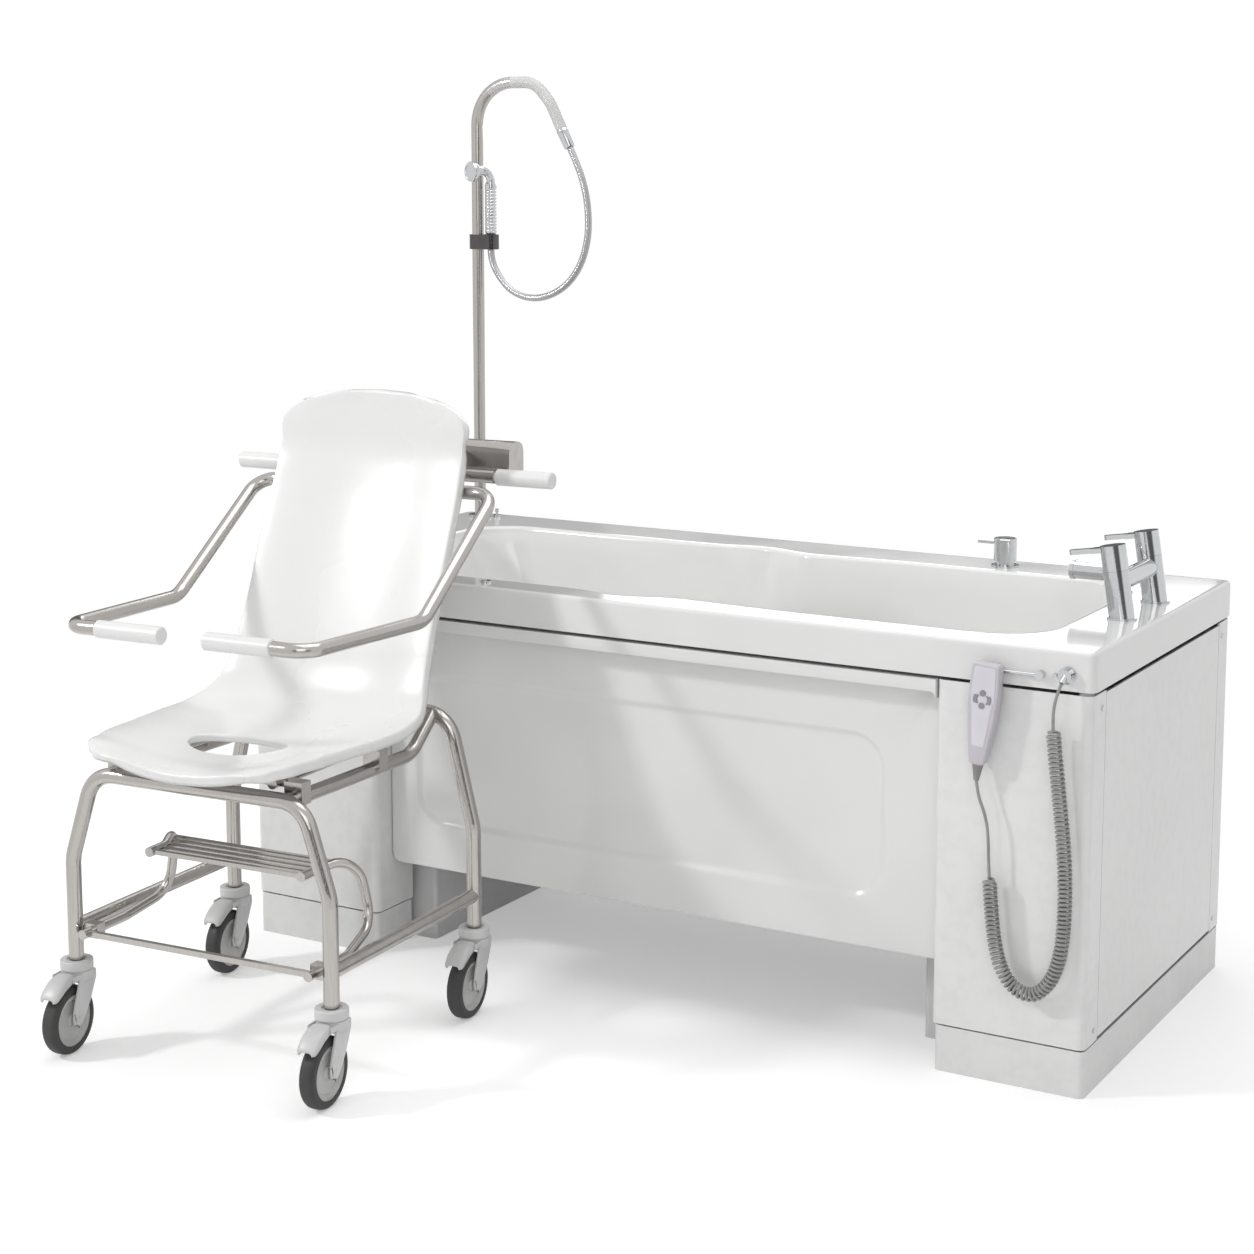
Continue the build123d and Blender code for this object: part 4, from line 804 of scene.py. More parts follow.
def moulded(name, colour, shade, rough=(0.25, 0.4), grain=600.0, depth=0.08, mottle=4.0, dust=0.1, wear_and_highlight=0.15, coat=0.0):
    """Moulded or painted surface: two close tones by slow mottling, dust on top, and sharp edges made paler, both
    rubbed wear and a painted edge highlight.
    """
    material, tree, shader = shaded(name, coat=coat)
    skin = group_node(tree, PEEL, Grain_per_metre=grain, Grain_depth=depth, Mottle_per_metre=mottle)
    dirt = group_node(tree, DUST, Amount=dust)
    edge_wear_highlight = group_node(tree, WEAR_AND_HIGHLIGHT, Amount=wear_and_highlight)
    tone = blend_colour(tree, skin.outputs["Mottle"], colour, shade)
    dusty = blend_colour(tree, dirt.outputs["Dust"], tone, tuple(0.7 * c + 0.1 for c in colour))
    # Sharp convex edges turn paler: rubbed wear and a painted edge highlight.
    pale = blend_colour(tree, edge_wear_highlight.outputs["Wear and highlight"], dusty, tuple(min(1.0, c * 1.12 + 0.03) for c in colour))
    tree.links.new(pale, shader.inputs["Base Color"])
    tree.links.new(soft_step(tree, skin.outputs["Mottle"], 0.0, 1.0, *rough), shader.inputs["Roughness"])
    tree.links.new(skin.outputs["Normal"], shader.inputs["Normal"])
    return material


def metal(name, colour, shade, rough=(0.12, 0.25), lines=(900.0, 900.0, 12.0), depth=0.06, wear_and_highlight=0.3):
    """Brushed or polished metal: tone and roughness follow the brush lines, and sharp edges are made brighter, both
    wear and a painted edge highlight.
    """
    material, tree, shader = shaded(name, metallic=1.0)
    brush = group_node(tree, BRUSH, Lines_per_metre=lines, Depth=depth)
    edge_wear_highlight = group_node(tree, WEAR_AND_HIGHLIGHT, Amount=wear_and_highlight)
    tone = blend_colour(tree, brush.outputs["Lines"], colour, shade)
    # Sharp convex edges turn brighter: wear and a painted edge highlight.
    bright = blend_colour(tree, edge_wear_highlight.outputs["Wear and highlight"], tone, tuple(min(1.0, c * 1.15) for c in colour))
    tree.links.new(bright, shader.inputs["Base Color"])
    tree.links.new(soft_step(tree, brush.outputs["Lines"], 0.35, 0.65, *rough), shader.inputs["Roughness"])
    tree.links.new(brush.outputs["Normal"], shader.inputs["Normal"])
    return material


# %% [markdown]
# The list of finishes follows. The whites differ a little, as acrylic, powder paint and moulded
# polythene do, and the metals differ in how sharply they mirror the room.

# %% Finishes
FINISHES = {
    "acrylic": moulded("white acrylic", (0.80, 0.80, 0.795), (0.765, 0.765, 0.76), (0.06, 0.12), 90, 0.05, 3, 0.05, 0.1, 0.35),
    "panel_white": moulded("white panel", (0.79, 0.79, 0.785), (0.755, 0.755, 0.75), (0.16, 0.26), 300, 0.1, 3, 0.06, 0.2, 0.1),
    "plinth_white": moulded("plinth white", (0.76, 0.76, 0.755), (0.72, 0.72, 0.715), (0.3, 0.42), 400, 0.14, 5, 0.2, 0.25),
    "shroud_white": moulded("shroud white", (0.70, 0.70, 0.70), (0.66, 0.66, 0.66), (0.35, 0.5), 400, 0.14, 5, 0.25),
    "frame_paint": moulded("frame paint", (0.42, 0.43, 0.44), (0.36, 0.37, 0.38), (0.4, 0.55), 500, 0.2, 6, 0.35),
    "actuator_plastic": moulded("actuator plastic", (0.06, 0.06, 0.065), (0.04, 0.04, 0.045), (0.4, 0.55), 700, 0.2, 8, 0.3),
    "handset_grey": moulded("handset grey", (0.60, 0.575, 0.62), (0.56, 0.535, 0.58), (0.4, 0.52), 900, 0.25, 14, 0.08, 0.2),
    "handset_membrane": moulded("membrane", (0.72, 0.70, 0.76), (0.68, 0.66, 0.72), (0.28, 0.36), 1200, 0.1, 20, 0.05, 0.0),
    "button_plastic": moulded("button plastic", (0.30, 0.29, 0.32), (0.26, 0.25, 0.28), (0.35, 0.45), 1200, 0.15, 40, 0.05),
    "cord_plastic": moulded("cord plastic", (0.33, 0.33, 0.325), (0.28, 0.28, 0.275), (0.38, 0.5), 900, 0.15, 30, 0.1, 0.1),
    "seat_moulding": moulded("seat moulding", (0.82, 0.82, 0.815), (0.79, 0.79, 0.785), (0.2, 0.3), 500, 0.1, 4, 0.05, 0.1, 0.15),
    "grip_plastic": moulded("grip plastic", (0.78, 0.78, 0.775), (0.74, 0.74, 0.735), (0.3, 0.42), 800, 0.2, 9, 0.05, 0.2),
    "castor_plastic": moulded("castor plastic", (0.66, 0.665, 0.66), (0.60, 0.605, 0.60), (0.3, 0.42), 600, 0.15, 12, 0.15, 0.25),
    "pedal_plastic": moulded("pedal plastic", (0.62, 0.625, 0.62), (0.56, 0.565, 0.56), (0.3, 0.42), 600, 0.2, 12, 0.15, 0.4),
    "hub_plastic": moulded("hub plastic", (0.56, 0.56, 0.55), (0.48, 0.48, 0.47), (0.3, 0.45), 500, 0.15, 14, 0.1, 0.3),
    "tyre_rubber": moulded("tyre rubber", (0.030, 0.030, 0.032), (0.055, 0.054, 0.052), (0.5, 0.72), 700, 0.35, 25, 0.3, 0.4),
    "ribbed_plastic": moulded("conduit plastic", (0.62, 0.62, 0.61), (0.56, 0.56, 0.55), (0.22, 0.34), 900, 0.1, 30, 0.05, 0.25, 0.2),
    "hose_plastic": metal("hose metal", (0.47, 0.47, 0.48), (0.36, 0.36, 0.37), (0.2, 0.32), (500.0, 500.0, 500.0), 0.05),
    "clamp_plastic": metal("clamp chrome", (0.11, 0.105, 0.105), (0.08, 0.077, 0.077), (0.06, 0.12), (300.0, 300.0, 300.0), 0.03),
    "chrome_fittings": metal("chrome", (0.60, 0.61, 0.62), (0.52, 0.53, 0.54), (0.03, 0.08), (250.0, 250.0, 250.0), 0.015),
    "stainless_tube": metal("stainless tube", (0.50, 0.48, 0.46), (0.40, 0.382, 0.365), (0.13, 0.24), (700.0, 700.0, 20.0), 0.05),
    "screw_steel": metal("screw steel", (0.58, 0.58, 0.58), (0.45, 0.45, 0.45), (0.2, 0.35), (900.0, 40.0, 900.0), 0.1),
    "column_aluminium": metal("column aluminium", (0.62, 0.62, 0.63), (0.55, 0.55, 0.56), (0.25, 0.4), (900.0, 900.0, 15.0), 0.1),
}
node_slots = {s["node"]: s["material_slot"] for s in frame["record"]["subparts"]}


def dress(obj, slot):
    obj.data.materials.clear()
    obj.data.materials.append(FINISHES[slot])


for name, obj in nodes.items():
    dress(obj, node_slots[name])
print(len(FINISHES), "finishes")

# %% [markdown]
# ## Rings of outlines
# The tub, the panels and the seat are all made the same way: closed outlines with the same number
# of points, one inside the other. A ring stack joins each outline to the next.

# %% Ring stacks and smooth tables
def ring_stack(name, rings, closed_end=True, angle=35):
    """A surface through closed outlines of equal length, with a flat face in the last one."""
    rows, columns = rings.shape[:2]
    faces = grid_faces(rows, columns, closed_columns=True)
    if closed_end:
        faces.append(tuple(range((rows - 1) * columns, rows * columns)))
    return crisp(mesh_object(name, rings.reshape(-1, 3), faces), angle)


def smooth_table(table, at):
    """Rows of a table read at places between them, by cubic pieces whose slopes join.
    A piece is (1 + 2t)(1 - t)^2 p + t (1 - t)^2 m + t^2 (3 - 2t) q + t^2 (t - 1) n."""
    table = np.asarray(table, float)
    x, values = table[:, 0], table[:, 1:]
    slope = np.gradient(values, x, axis=0)
    i = np.clip(np.searchsorted(x, at) - 1, 0, len(x) - 2)
    width = (x[i + 1] - x[i])[..., None]
    t = (at - x[i])[..., None] / width
    return (
        (1 + 2 * t) * (1 - t) ** 2 * values[i] + t * (1 - t) ** 2 * width * slope[i]
        + t ** 2 * (3 - 2 * t) * values[i + 1] + t ** 2 * (t - 1) * width * slope[i + 1]
    )


def thicken(obj, wall):
    """Gives an open skin its wall, on the side away from its faces' fronts."""
    solid = obj.modifiers.new("wall", "SOLIDIFY")
    solid.thickness = wall
    solid.offset = -1
    return obj


def face_up(obj):
    """Turns the whole sheet over if most of its faces look down."""
    up = sum(p.normal.z * p.area for p in obj.data.polygons)
    if up < 0:
        obj.data.flip_normals()
    return obj


print("slope of a straight table:", smooth_table([(0, 0), (1, 2), (2, 4)], np.array([0.5])))

# %% [markdown]
# ## The seat shell
# The seat and back are one moulding, dished across and bent up at the back. Its edges roll over,
# and so does the lip of the oval opening. A grid that runs in rings from the opening out to the
# edge fits both rims exactly, where a plain grid would leave steps round the oval.

# %% Seat surface
SEAT_ROLL = 0.006
SEAT_WALL = 0.005
SEAT_LIP = 0.013
OPENING_Y, OPENING_X_REACH, OPENING_Y_REACH = -0.115, 0.100, 0.066
SEAT_TABLE = np.array([
    # y, z, lean in degrees, half width, rise of the edges
    (-0.300, 0.554, 6, 0.130, 0.009), (-0.293, 0.557, 4, 0.168, 0.015), (-0.274, 0.561, 2, 0.202, 0.022),
    (-0.225, 0.564, 0, 0.222, 0.023), (-0.115, 0.566, 0, 0.238, 0.021), (-0.010, 0.566, 0, 0.249, 0.020),
    (0.060, 0.567, 4, 0.248, 0.021), (0.118, 0.574, 18, 0.243, 0.026), (0.160, 0.596, 42, 0.232, 0.030),
    (0.186, 0.632, 60, 0.224, 0.030), (0.214, 0.700, 67, 0.218, 0.026), (0.276, 0.852, 67.9, 0.216, 0.024),
    (0.334, 0.994, 68.5, 0.213, 0.022), (0.350, 1.045, 74, 0.210, 0.020), (0.354, 1.105, 82, 0.203, 0.017),
    (0.356, 1.132, 86, 0.174, 0.013), (0.3565, 1.150, 88, 0.128, 0.008), (0.3565, 1.160, 89, 0.074, 0.004),
])
seat_walk = np.r_[0, np.cumsum(np.linalg.norm(np.diff(SEAT_TABLE[:, :2], axis=0), axis=1))]
SEAT_BY_LENGTH = np.c_[seat_walk, SEAT_TABLE]


def seat_point(u, v):
    """A point of the shell: u across from -1 to 1, v the length along the middle. The rise over the
    dish is rise * sin(pi / 2 * |u|^1.3)^2, which is flat in the middle and again at the rim."""
    y, z, lean, half, rise = np.moveaxis(smooth_table(SEAT_BY_LENGTH, v), -1, 0)
    lean = np.radians(lean)
    lift = rise * np.sin(math.pi / 2 * np.abs(u) ** 1.3) ** 2
    return np.stack([u * (half - SEAT_ROLL), y - np.sin(lean) * lift, z + np.cos(lean) * lift], axis=-1)


print("seat is", round(float(seat_walk[-1]), 3), "m along its middle")

# %% Seat grid
def seat_border(count):
    """The outer border as (u, v), evenly spaced on the real shell, from the opening's right side round."""
    low, high = SEAT_ROLL, seat_walk[-1] - SEAT_ROLL
    start = float(np.interp(OPENING_Y, SEAT_TABLE[:, 0], seat_walk))
    corners = np.array([(1, start), (1, high), (-1, high), (-1, low), (1, low), (1, start)])
    at = np.linspace(0, 5, 2001)
    uv = np.stack([np.interp(at, range(6), corners[:, k]) for k in range(2)], axis=1)
    walked = np.r_[0, np.cumsum(np.linalg.norm(np.diff(seat_point(uv[:, 0], uv[:, 1]), axis=0), axis=1))]
    even = np.linspace(0, walked[-1], count, endpoint=False)
    return np.stack([np.interp(even, walked, uv[:, k]) for k in range(2)], axis=1), start


def seat_shell(rows=64, count=288):
    border, start = seat_border(count)
    half = float(np.interp(OPENING_Y, SEAT_TABLE[:, 0], SEAT_TABLE[:, 3])) - SEAT_ROLL
    seen = np.unwrap(np.arctan2(border[:, 1] - start, border[:, 0] * half))
    angle = 0.5 * seen + 0.5 * np.linspace(0, 2 * math.pi, count, endpoint=False)
    oval = np.stack([OPENING_X_REACH / half * np.cos(angle), start + OPENING_Y_REACH * np.sin(angle)], axis=1)
    share = (np.linspace(0, 1, rows) ** 1.25)[:, None, None]
    uv = (1 - share) * oval + share * border
    skin = seat_point(uv[..., 0], uv[..., 1])

    def rolled(edge, inner, radius, drop):
        """Rows that turn down from the edge: a quarter circle, then straight down by drop."""
        out = edge - inner
        out /= np.linalg.norm(out, axis=1)[:, None]
        along = np.roll(edge, -1, axis=0) - np.roll(edge, 1, axis=0)
        normal = np.cross(out, along)
        normal /= np.linalg.norm(normal, axis=1)[:, None]
        facing = -np.sin(np.radians(30)) * normal[:, 1] + normal[:, 2]
        normal *= np.sign(facing)[:, None]
        t = np.linspace(0, math.pi / 2, 6)[1:, None, None]
        turn = edge + radius * np.sin(t) * out - radius * (1 - np.cos(t)) * normal
        end = turn[-1:] - drop * np.array([0.5, 1.0])[:, None, None] * normal
        return np.concatenate([turn, end])

    outer = rolled(skin[-1], skin[-2], SEAT_ROLL, SEAT_LIP)
    inner = rolled(skin[0], skin[1], 0.005, 0.008)[::-1]
    rings = np.concatenate([inner, skin, outer])
    return thicken(face_up(ring_stack("seat_moulding", rings, closed_end=False)), SEAT_WALL)


mounted(seat_shell(), "seat_unit", "seat_moulding", "seat_shell", place=on_chair)

# %% [markdown]
# ## The tub
# The bath is one sheet of acrylic: a skirt, a rolled edge, a flat deck, a soft lip and the well.
# Its sides wave in plan, so that arms have room. Every level of the well is an outline of the
# same points, drawn in step by step towards the floor.

# %% Well outlines
BATH_HALF_X, BATH_HALF_Y = 0.900, 0.400
RIM_TOP, RIM_BOTTOM = 0.783, 0.714
WELL_FLOOR = 0.352
RIM_CORNER, RIM_EDGE, WELL_LIP, TUB_WALL = 0.014, 0.008, 0.010, 0.004
WELL_LEFT, WELL_RIGHT, WELL_FRONT, WELL_BACK = -0.745, 0.765, -0.315, 0.262
WAVE_X, WAVE_OUT, WAVE_IN = -0.060, 0.024, 0.015
HEAD_SLOPE, FOOT_SLOPE, SIDE_SLOPE = 0.190, 0.130, 0.095
WELL_LEVELS = [
    # share of the depth, share of the side slopes
    (0.0, 0.0), (0.15, 0.14), (0.30, 0.30), (0.47, 0.48), (0.62, 0.66), (0.76, 0.83),
    (0.86, 0.96), (0.93, 1.08), (0.97, 1.19), (0.99, 1.30), (1.0, 1.45),
]


def well_outline(drop):
    """The well in plan, drawn in by drop (0 at the rim, 1 near the floor)."""
    head, foot = WELL_LEFT + HEAD_SLOPE * drop, WELL_RIGHT - FOOT_SLOPE * drop
    front, back = WELL_FRONT + SIDE_SLOPE * drop, WELL_BACK - SIDE_SLOPE * drop * 0.6
    fade = max(1 - drop, 0.12)
    out, draw = WAVE_OUT * fade, WAVE_IN * fade
    near = [(WAVE_X - 0.110, front), (WAVE_X, front - out), (WAVE_X + 0.095, front + draw), (WAVE_X + 0.330, front)]
    far = [(x, back - (y - front)) for x, y in reversed(near)]
    corner = 0.110 - 0.015 * drop
    wave = [0.036, 0.047, 0.045, 0.080]
    corners = [(head, front), *near, (foot, front), (foot, back), *far, (head, back)]
    return loop(corners, [corner, *wave, corner, corner, *wave[::-1], corner], arc=13, run=4)


def by_heading(outline, heading, centre):
    """The outline read at the given headings from its centre, so that outlines can be joined."""
    away = outline - centre
    own = np.arctan2(away[:, 1], away[:, 0])
    return np.stack([np.interp(heading, own, outline[:, k], period=2 * math.pi) for k in range(2)], axis=1)


def rounded_box(half_x, half_y, r):
    return loop([(-half_x, -half_y), (half_x, -half_y), (half_x, half_y), (-half_x, half_y)], r, arc=9, run=14)


print("well outline has", len(well_outline(0)), "points")

# %% Tub
def tub_sheet():
    centre = np.array([(WELL_LEFT + WELL_RIGHT) / 2, (WELL_FRONT + WELL_BACK) / 2])
    rim, well = rounded_box(BATH_HALF_X, BATH_HALF_Y, RIM_CORNER), well_outline(0)
    heading = np.sort(np.concatenate([np.arctan2(*(o - centre).T[::-1]) for o in (rim, well)]))
    heading = heading[np.r_[True, np.diff(heading) > 1e-4]]
    rings = []

    def ring(outline, z):
        plan = by_heading(outline, heading, centre)
        rings.append(np.c_[plan, np.full(len(plan), z)])

    for z in (RIM_BOTTOM, RIM_BOTTOM + 0.001, RIM_TOP - RIM_EDGE - 0.001):
        ring(rim, z)
    for t in np.linspace(0, math.pi / 2, 6):
        inwards = RIM_EDGE * (1 - math.cos(t))
        ring(
            rounded_box(BATH_HALF_X - inwards, BATH_HALF_Y - inwards, RIM_CORNER - inwards * 0.8),
            RIM_TOP - RIM_EDGE * (1 - math.sin(t)),
        )
    ring(rounded_box(BATH_HALF_X - 0.012, BATH_HALF_Y - 0.012, 0.007), RIM_TOP)
    ring(inset(well, -WELL_LIP - 0.006), RIM_TOP)
    for t in np.linspace(0, math.pi / 2, 7):
        ring(inset(well, -WELL_LIP * (1 - math.sin(t))), RIM_TOP - WELL_LIP * (1 - math.cos(t)))
    depth = RIM_TOP - WELL_FLOOR
    shares = np.r_[np.linspace(0.04, 0.86, 18), np.linspace(0.885, 0.985, 9), 0.994, 1.0]
    for share, drop in zip(shares, smooth_table(WELL_LEVELS, shares)[:, 0]):
        ring(well_outline(drop), RIM_TOP - depth * share)
    ring(inset(well_outline(1.45), 0.02), WELL_FLOOR)
    return thicken(face_up(ring_stack("acrylic_tub", np.stack(rings), angle=50)), TUB_WALL)


mounted(tub_sheet(), "bath_lift", "acrylic", "tub")
print("tub points", len(PIECES[-1][0].data.vertices))

# %% [markdown]
# ## The side panels
# Between the two end housings hangs a white panel, set back by a hand's breadth, with one shallow
# field pressed into it. A band in the front plane closes the gap below the rim, and its lower
# corners are rounded where it meets the housings.

# %% Side panels
PANEL_Y, PANEL_LEFT, PANEL_RIGHT = -0.349, -0.588, 0.613
PANEL_BOTTOM, PANEL_TOP, BAND_BOTTOM = 0.185, 0.708, 0.684
FIELD_BOX = (-0.530, 0.502, 0.272, 0.586)
FIELD_DEPTH, FIELD_EDGE, FIELD_CORNER = 0.007, 0.016, 0.070


def box_outline(x0, x1, z0, z1, reaches):
    return loop([(x0, z0), (x1, z0), (x1, z1), (x0, z1)], reaches, arc=13, run=3)


def panel_sheet(name):
    edge = box_outline(PANEL_LEFT, PANEL_RIGHT, PANEL_BOTTOM, PANEL_TOP - 0.004, [0.02, 0.02, 0.004, 0.004])
    field = box_outline(*FIELD_BOX, FIELD_CORNER)
    steps = [(edge, 0.0, 0.010), (edge, 0.0, 0.0015), (edge, 0.0004, 0.0004), (edge, 0.0015, 0.0)]
    steps += [(edge, 0.006, 0.0), (field, -0.004, 0.0)]
    for t in np.linspace(0, 1, 9):
        steps.append((field, FIELD_EDGE * t, FIELD_DEPTH * t * t * (3 - 2 * t)))
    steps.append((field, FIELD_EDGE + 0.004, FIELD_DEPTH))
    rings = []
    for outline, inwards, depth in steps:
        plan = inset(outline, inwards)
        rings.append(np.c_[plan[:, 0], np.full(len(plan), PANEL_Y + depth), plan[:, 1]])
    return ring_stack(name, np.stack(rings), angle=60)


def panel_band(name):
    """A strip along x whose lower edge drops by r - sqrt(r^2 - d^2) near each end, d the distance
    into the corner, so that the opening below it has rounded corners."""
    r, edge = 0.012, 0.0015
    d = r * np.sin(np.linspace(0, math.pi / 2, 7))
    drop = r - np.sqrt(np.maximum(r * r - d * d, 0))
    x = np.r_[PANEL_LEFT + r - d[::-1], PANEL_RIGHT - r + d]
    low = BAND_BOTTOM - np.r_[drop[::-1], drop]
    front, back, top = -BATH_HALF_Y, PANEL_Y + 0.002, PANEL_TOP - 0.001
    t = np.linspace(0, math.pi / 2, 4)
    y = np.r_[back, front + edge * (1 - np.sin(t)), front + edge * (1 - np.cos(t)), back]
    up = np.r_[0, edge * (np.cos(t) - 1), edge * (1 - np.sin(t)), 0]
    from_top = np.r_[np.ones(5, bool), np.zeros(5, bool)]
    z = np.where(from_top[None, :], top, low[:, None]) + up[None, :]
    grid = np.stack(np.broadcast_arrays(x[:, None], y[None, :], z), axis=-1)
    return grid_object(name, grid, closed_columns=True, caps=True)


def long_side(name):
    return outward(joined(name, panel_sheet(name + "_sheet"), panel_band(name + "_band")))


def far_side(points):
    return np.asarray(points, float) * (1, -1, 1)


near_panel = long_side("near_side_panel")
rear_panel = outward(move_mesh(long_side("rear_side_panel"), far_side))
mounted(crisp(near_panel, 60), "bath_lift", "panel_white", "side_panels")
mounted(crisp(rear_panel, 60), "bath_lift", "panel_white", "side_panels")
print("side panels", round(PANEL_RIGHT - PANEL_LEFT, 3), "m long")

# %% [markdown]
# ## The castors
# Each castor has a grooved collar, a fork that sweeps back to the axle, a brake pedal like a small
# hood, a black tyre and a pale disc. They turn about a stem that stands ahead of the axle.

# %% Castor frame
STEM_X, STEM_Y, STEM_TURN = 0.276, 0.240, math.radians(3.0)
AXLE = np.array((0.0, -0.030, 0.0625))
WHEEL_R, HUB_R = 0.0625, 0.047
CORNERS = {"front_left": (-1, -1), "front_right": (1, -1), "rear_left": (-1, 1), "rear_right": (1, 1)}


def castor_place(corner):
    """Carries points from the stem's own frame to that corner of the chair."""
    sx, sy = CORNERS[corner]
    return lambda points: on_chair(turn_z(points, STEM_TURN) + (sx * STEM_X, sy * STEM_Y, 0))


def turned_ring(name, outline, place, axis, sides=64):
    """A lathe surface whose profile is a closed outline of (height, radius)."""
    solid = turned(name, np.vstack([outline, outline[:1]]), place, axis, sides)
    points = points_of(solid).reshape(-1, sides, 3)[:-1]
    bpy.data.objects.remove(solid)
    return crisp(outward(grid_object(name, points, closed_rows=True, closed_columns=True)))


# %% Fork
FORK_TOP = 0.1677
COLLAR_PROFILE = [
    (0.1307, 0.0), (0.1307, 0.0262), (0.1345, 0.0284), (0.1484, 0.0284), (0.1492, 0.0268),
    (0.1506, 0.0268), (0.1514, 0.0299), (0.1660, 0.0299), (FORK_TOP, 0.0284), (FORK_TOP, 0.0178),
    (0.1655, 0.0172), (0.1655, 0.0),
]
CHEEK_OUTLINE = [
    (0.027, 0.130), (0.026, 0.146), (-0.017, 0.146), (-0.036, 0.094), (-0.0435, 0.066),
    (-0.036, 0.0495), (-0.019, 0.0515), (0.006, 0.086),
]
CHEEK_BENDS = [0.004, 0.004, 0.014, 0.018, 0.012, 0.008, 0.012, 0.020]


def castor_fork(name):
    cheeks = [
        plate(f"{name}_{x}", loop(CHEEK_OUTLINE, CHEEK_BENDS), (x, 0, 0), (0, 1, 0), (0, 0, 1), 0.0055, edge=0.0018)
        for x in (0.0178, -0.0233)
    ]
    crown = brick(name + "_crown", (-0.0225, -0.017, 0.127), (0.0225, 0.027, 0.1475), r=0.009, edge=0.003)
    ears = [
        brick(f"{name}_ear{x}", (x, -0.0415, 0.1365), (x + 0.0026, -0.016, 0.1465), r=0.001, edge=0.0008)
        for x in (0.0214, -0.0240)
    ]
    bolt = turned(
        name + "_bolt",
        [(-0.0258, 0.0), (-0.0258, 0.0052), (-0.0250, 0.0068), (-0.0232, 0.0072), (-0.0232, 0.0045),
         (0.0232, 0.0045), (0.0232, 0.0072), (0.0250, 0.0068), (0.0258, 0.0052), (0.0258, 0.0)],
        AXLE, (1, 0, 0), 24,
    )
    collar = turned(name + "_collar", COLLAR_PROFILE, sides=56)
    return crisp(joined(name, collar, crown, *cheeks, *ears, bolt))


# %% Pedal, tyre and disc
PEDAL_TABLE = [
    # share, y, z, half width, skirt
    (0.0, -0.0300, 0.1490, 0.0185, 0.010), (0.2, -0.0420, 0.1488, 0.0205, 0.014), (0.45, -0.0600, 0.1440, 0.0208, 0.016),
    (0.7, -0.0755, 0.1335, 0.0200, 0.015), (0.88, -0.0850, 0.1235, 0.0178, 0.011), (1.0, -0.0885, 0.1175, 0.0120, 0.006),
]


def castor_pedal(name):
    """An arched hood: x = w * |sin a|^0.7 and drop = skirt * (1 - cos(a)^0.6), a from -90 to 90 degrees."""
    y, z, w, skirt = np.moveaxis(smooth_table(PEDAL_TABLE, np.linspace(0, 1, 22)), -1, 0)
    a = np.linspace(-math.pi / 2, math.pi / 2, 29)[None, :]
    x = w[:, None] * np.sign(a) * np.abs(np.sin(a)) ** 0.7
    down = skirt[:, None] * (1 - np.abs(np.cos(a)) ** 0.6)
    grid = np.stack(np.broadcast_arrays(x, y[:, None], z[:, None] - down), axis=-1)
    return thicken(face_up(grid_object(name, grid)), 0.003)


def castor_tyre(name):
    profile = [(-0.0148, HUB_R), (-0.0148, 0.0560), (-0.0105, 0.0618), (0.0, WHEEL_R + 0.0003),
               (0.0105, 0.0618), (0.0148, 0.0560), (0.0148, HUB_R)]
    reach = [0.0006, 0.004, 0.004, 0.006, 0.004, 0.004, 0.0006]
    return turned_ring(name, loop(profile, reach, arc=5, run=1), AXLE, (1, 0, 0))


DISC_HALF = [
    (0.0144, 0.0), (0.0144, 0.0092), (0.0134, 0.0112), (0.0092, 0.0128), (0.0086, 0.0360), (0.0122, 0.0392),
    (0.0134, 0.0404), (0.0134, 0.0424), (0.0124, 0.0430), (0.0124, 0.0438), (0.0136, 0.0446), (0.0132, 0.0469),
]


def castor_disc(name):
    near = np.array(DISC_HALF)
    return turned(name, np.vstack([near * (-1, 1), near[::-1]]), AXLE, (1, 0, 0), 56)


for corner in CORNERS:
    place = castor_place(corner)
    castor_parts = (
        (castor_fork, "castor_fork", "fork", "castor_plastic"), (castor_pedal, "castor_pedal", "brake", "pedal_plastic"),
        (castor_tyre, "castor_tyre", "wheel", "tyre_rubber"), (castor_disc, "castor_hub", "wheel", "hub_plastic"),
    )
    for make, node, body, slot in castor_parts:
        mounted(make(f"{node}_skin_{corner}"), f"{body}_{corner}", slot, f"{node}_{corner}", place=place)
print("castor pieces", 4 * len(CORNERS))

# %% [markdown]
# ## The shower
# The steel pole bends over into a stiff ribbed sleeve with a smooth chrome end, where the hose
# begins. The hand shower hangs in a clamp: a ribbed handle, a bent neck and a small round head.

# %% Ribbed sleeve
POLE_X, POLE_Y, BEND_Z, BEND_R = -0.829, 0.342, 1.672, 0.095
SLEEVE_CORNERS = [(-0.734, POLE_Y, 1.767), (-0.676, POLE_Y, 1.767), (-0.634, POLE_Y, 1.722), (-0.604, POLE_Y, 1.662)]
CONNECTOR_END = (-0.5836, POLE_Y, 1.623)
SLEEVE_R, RIB_DEPTH, RIB_PITCH = 0.0132, 0.0007, 0.0034


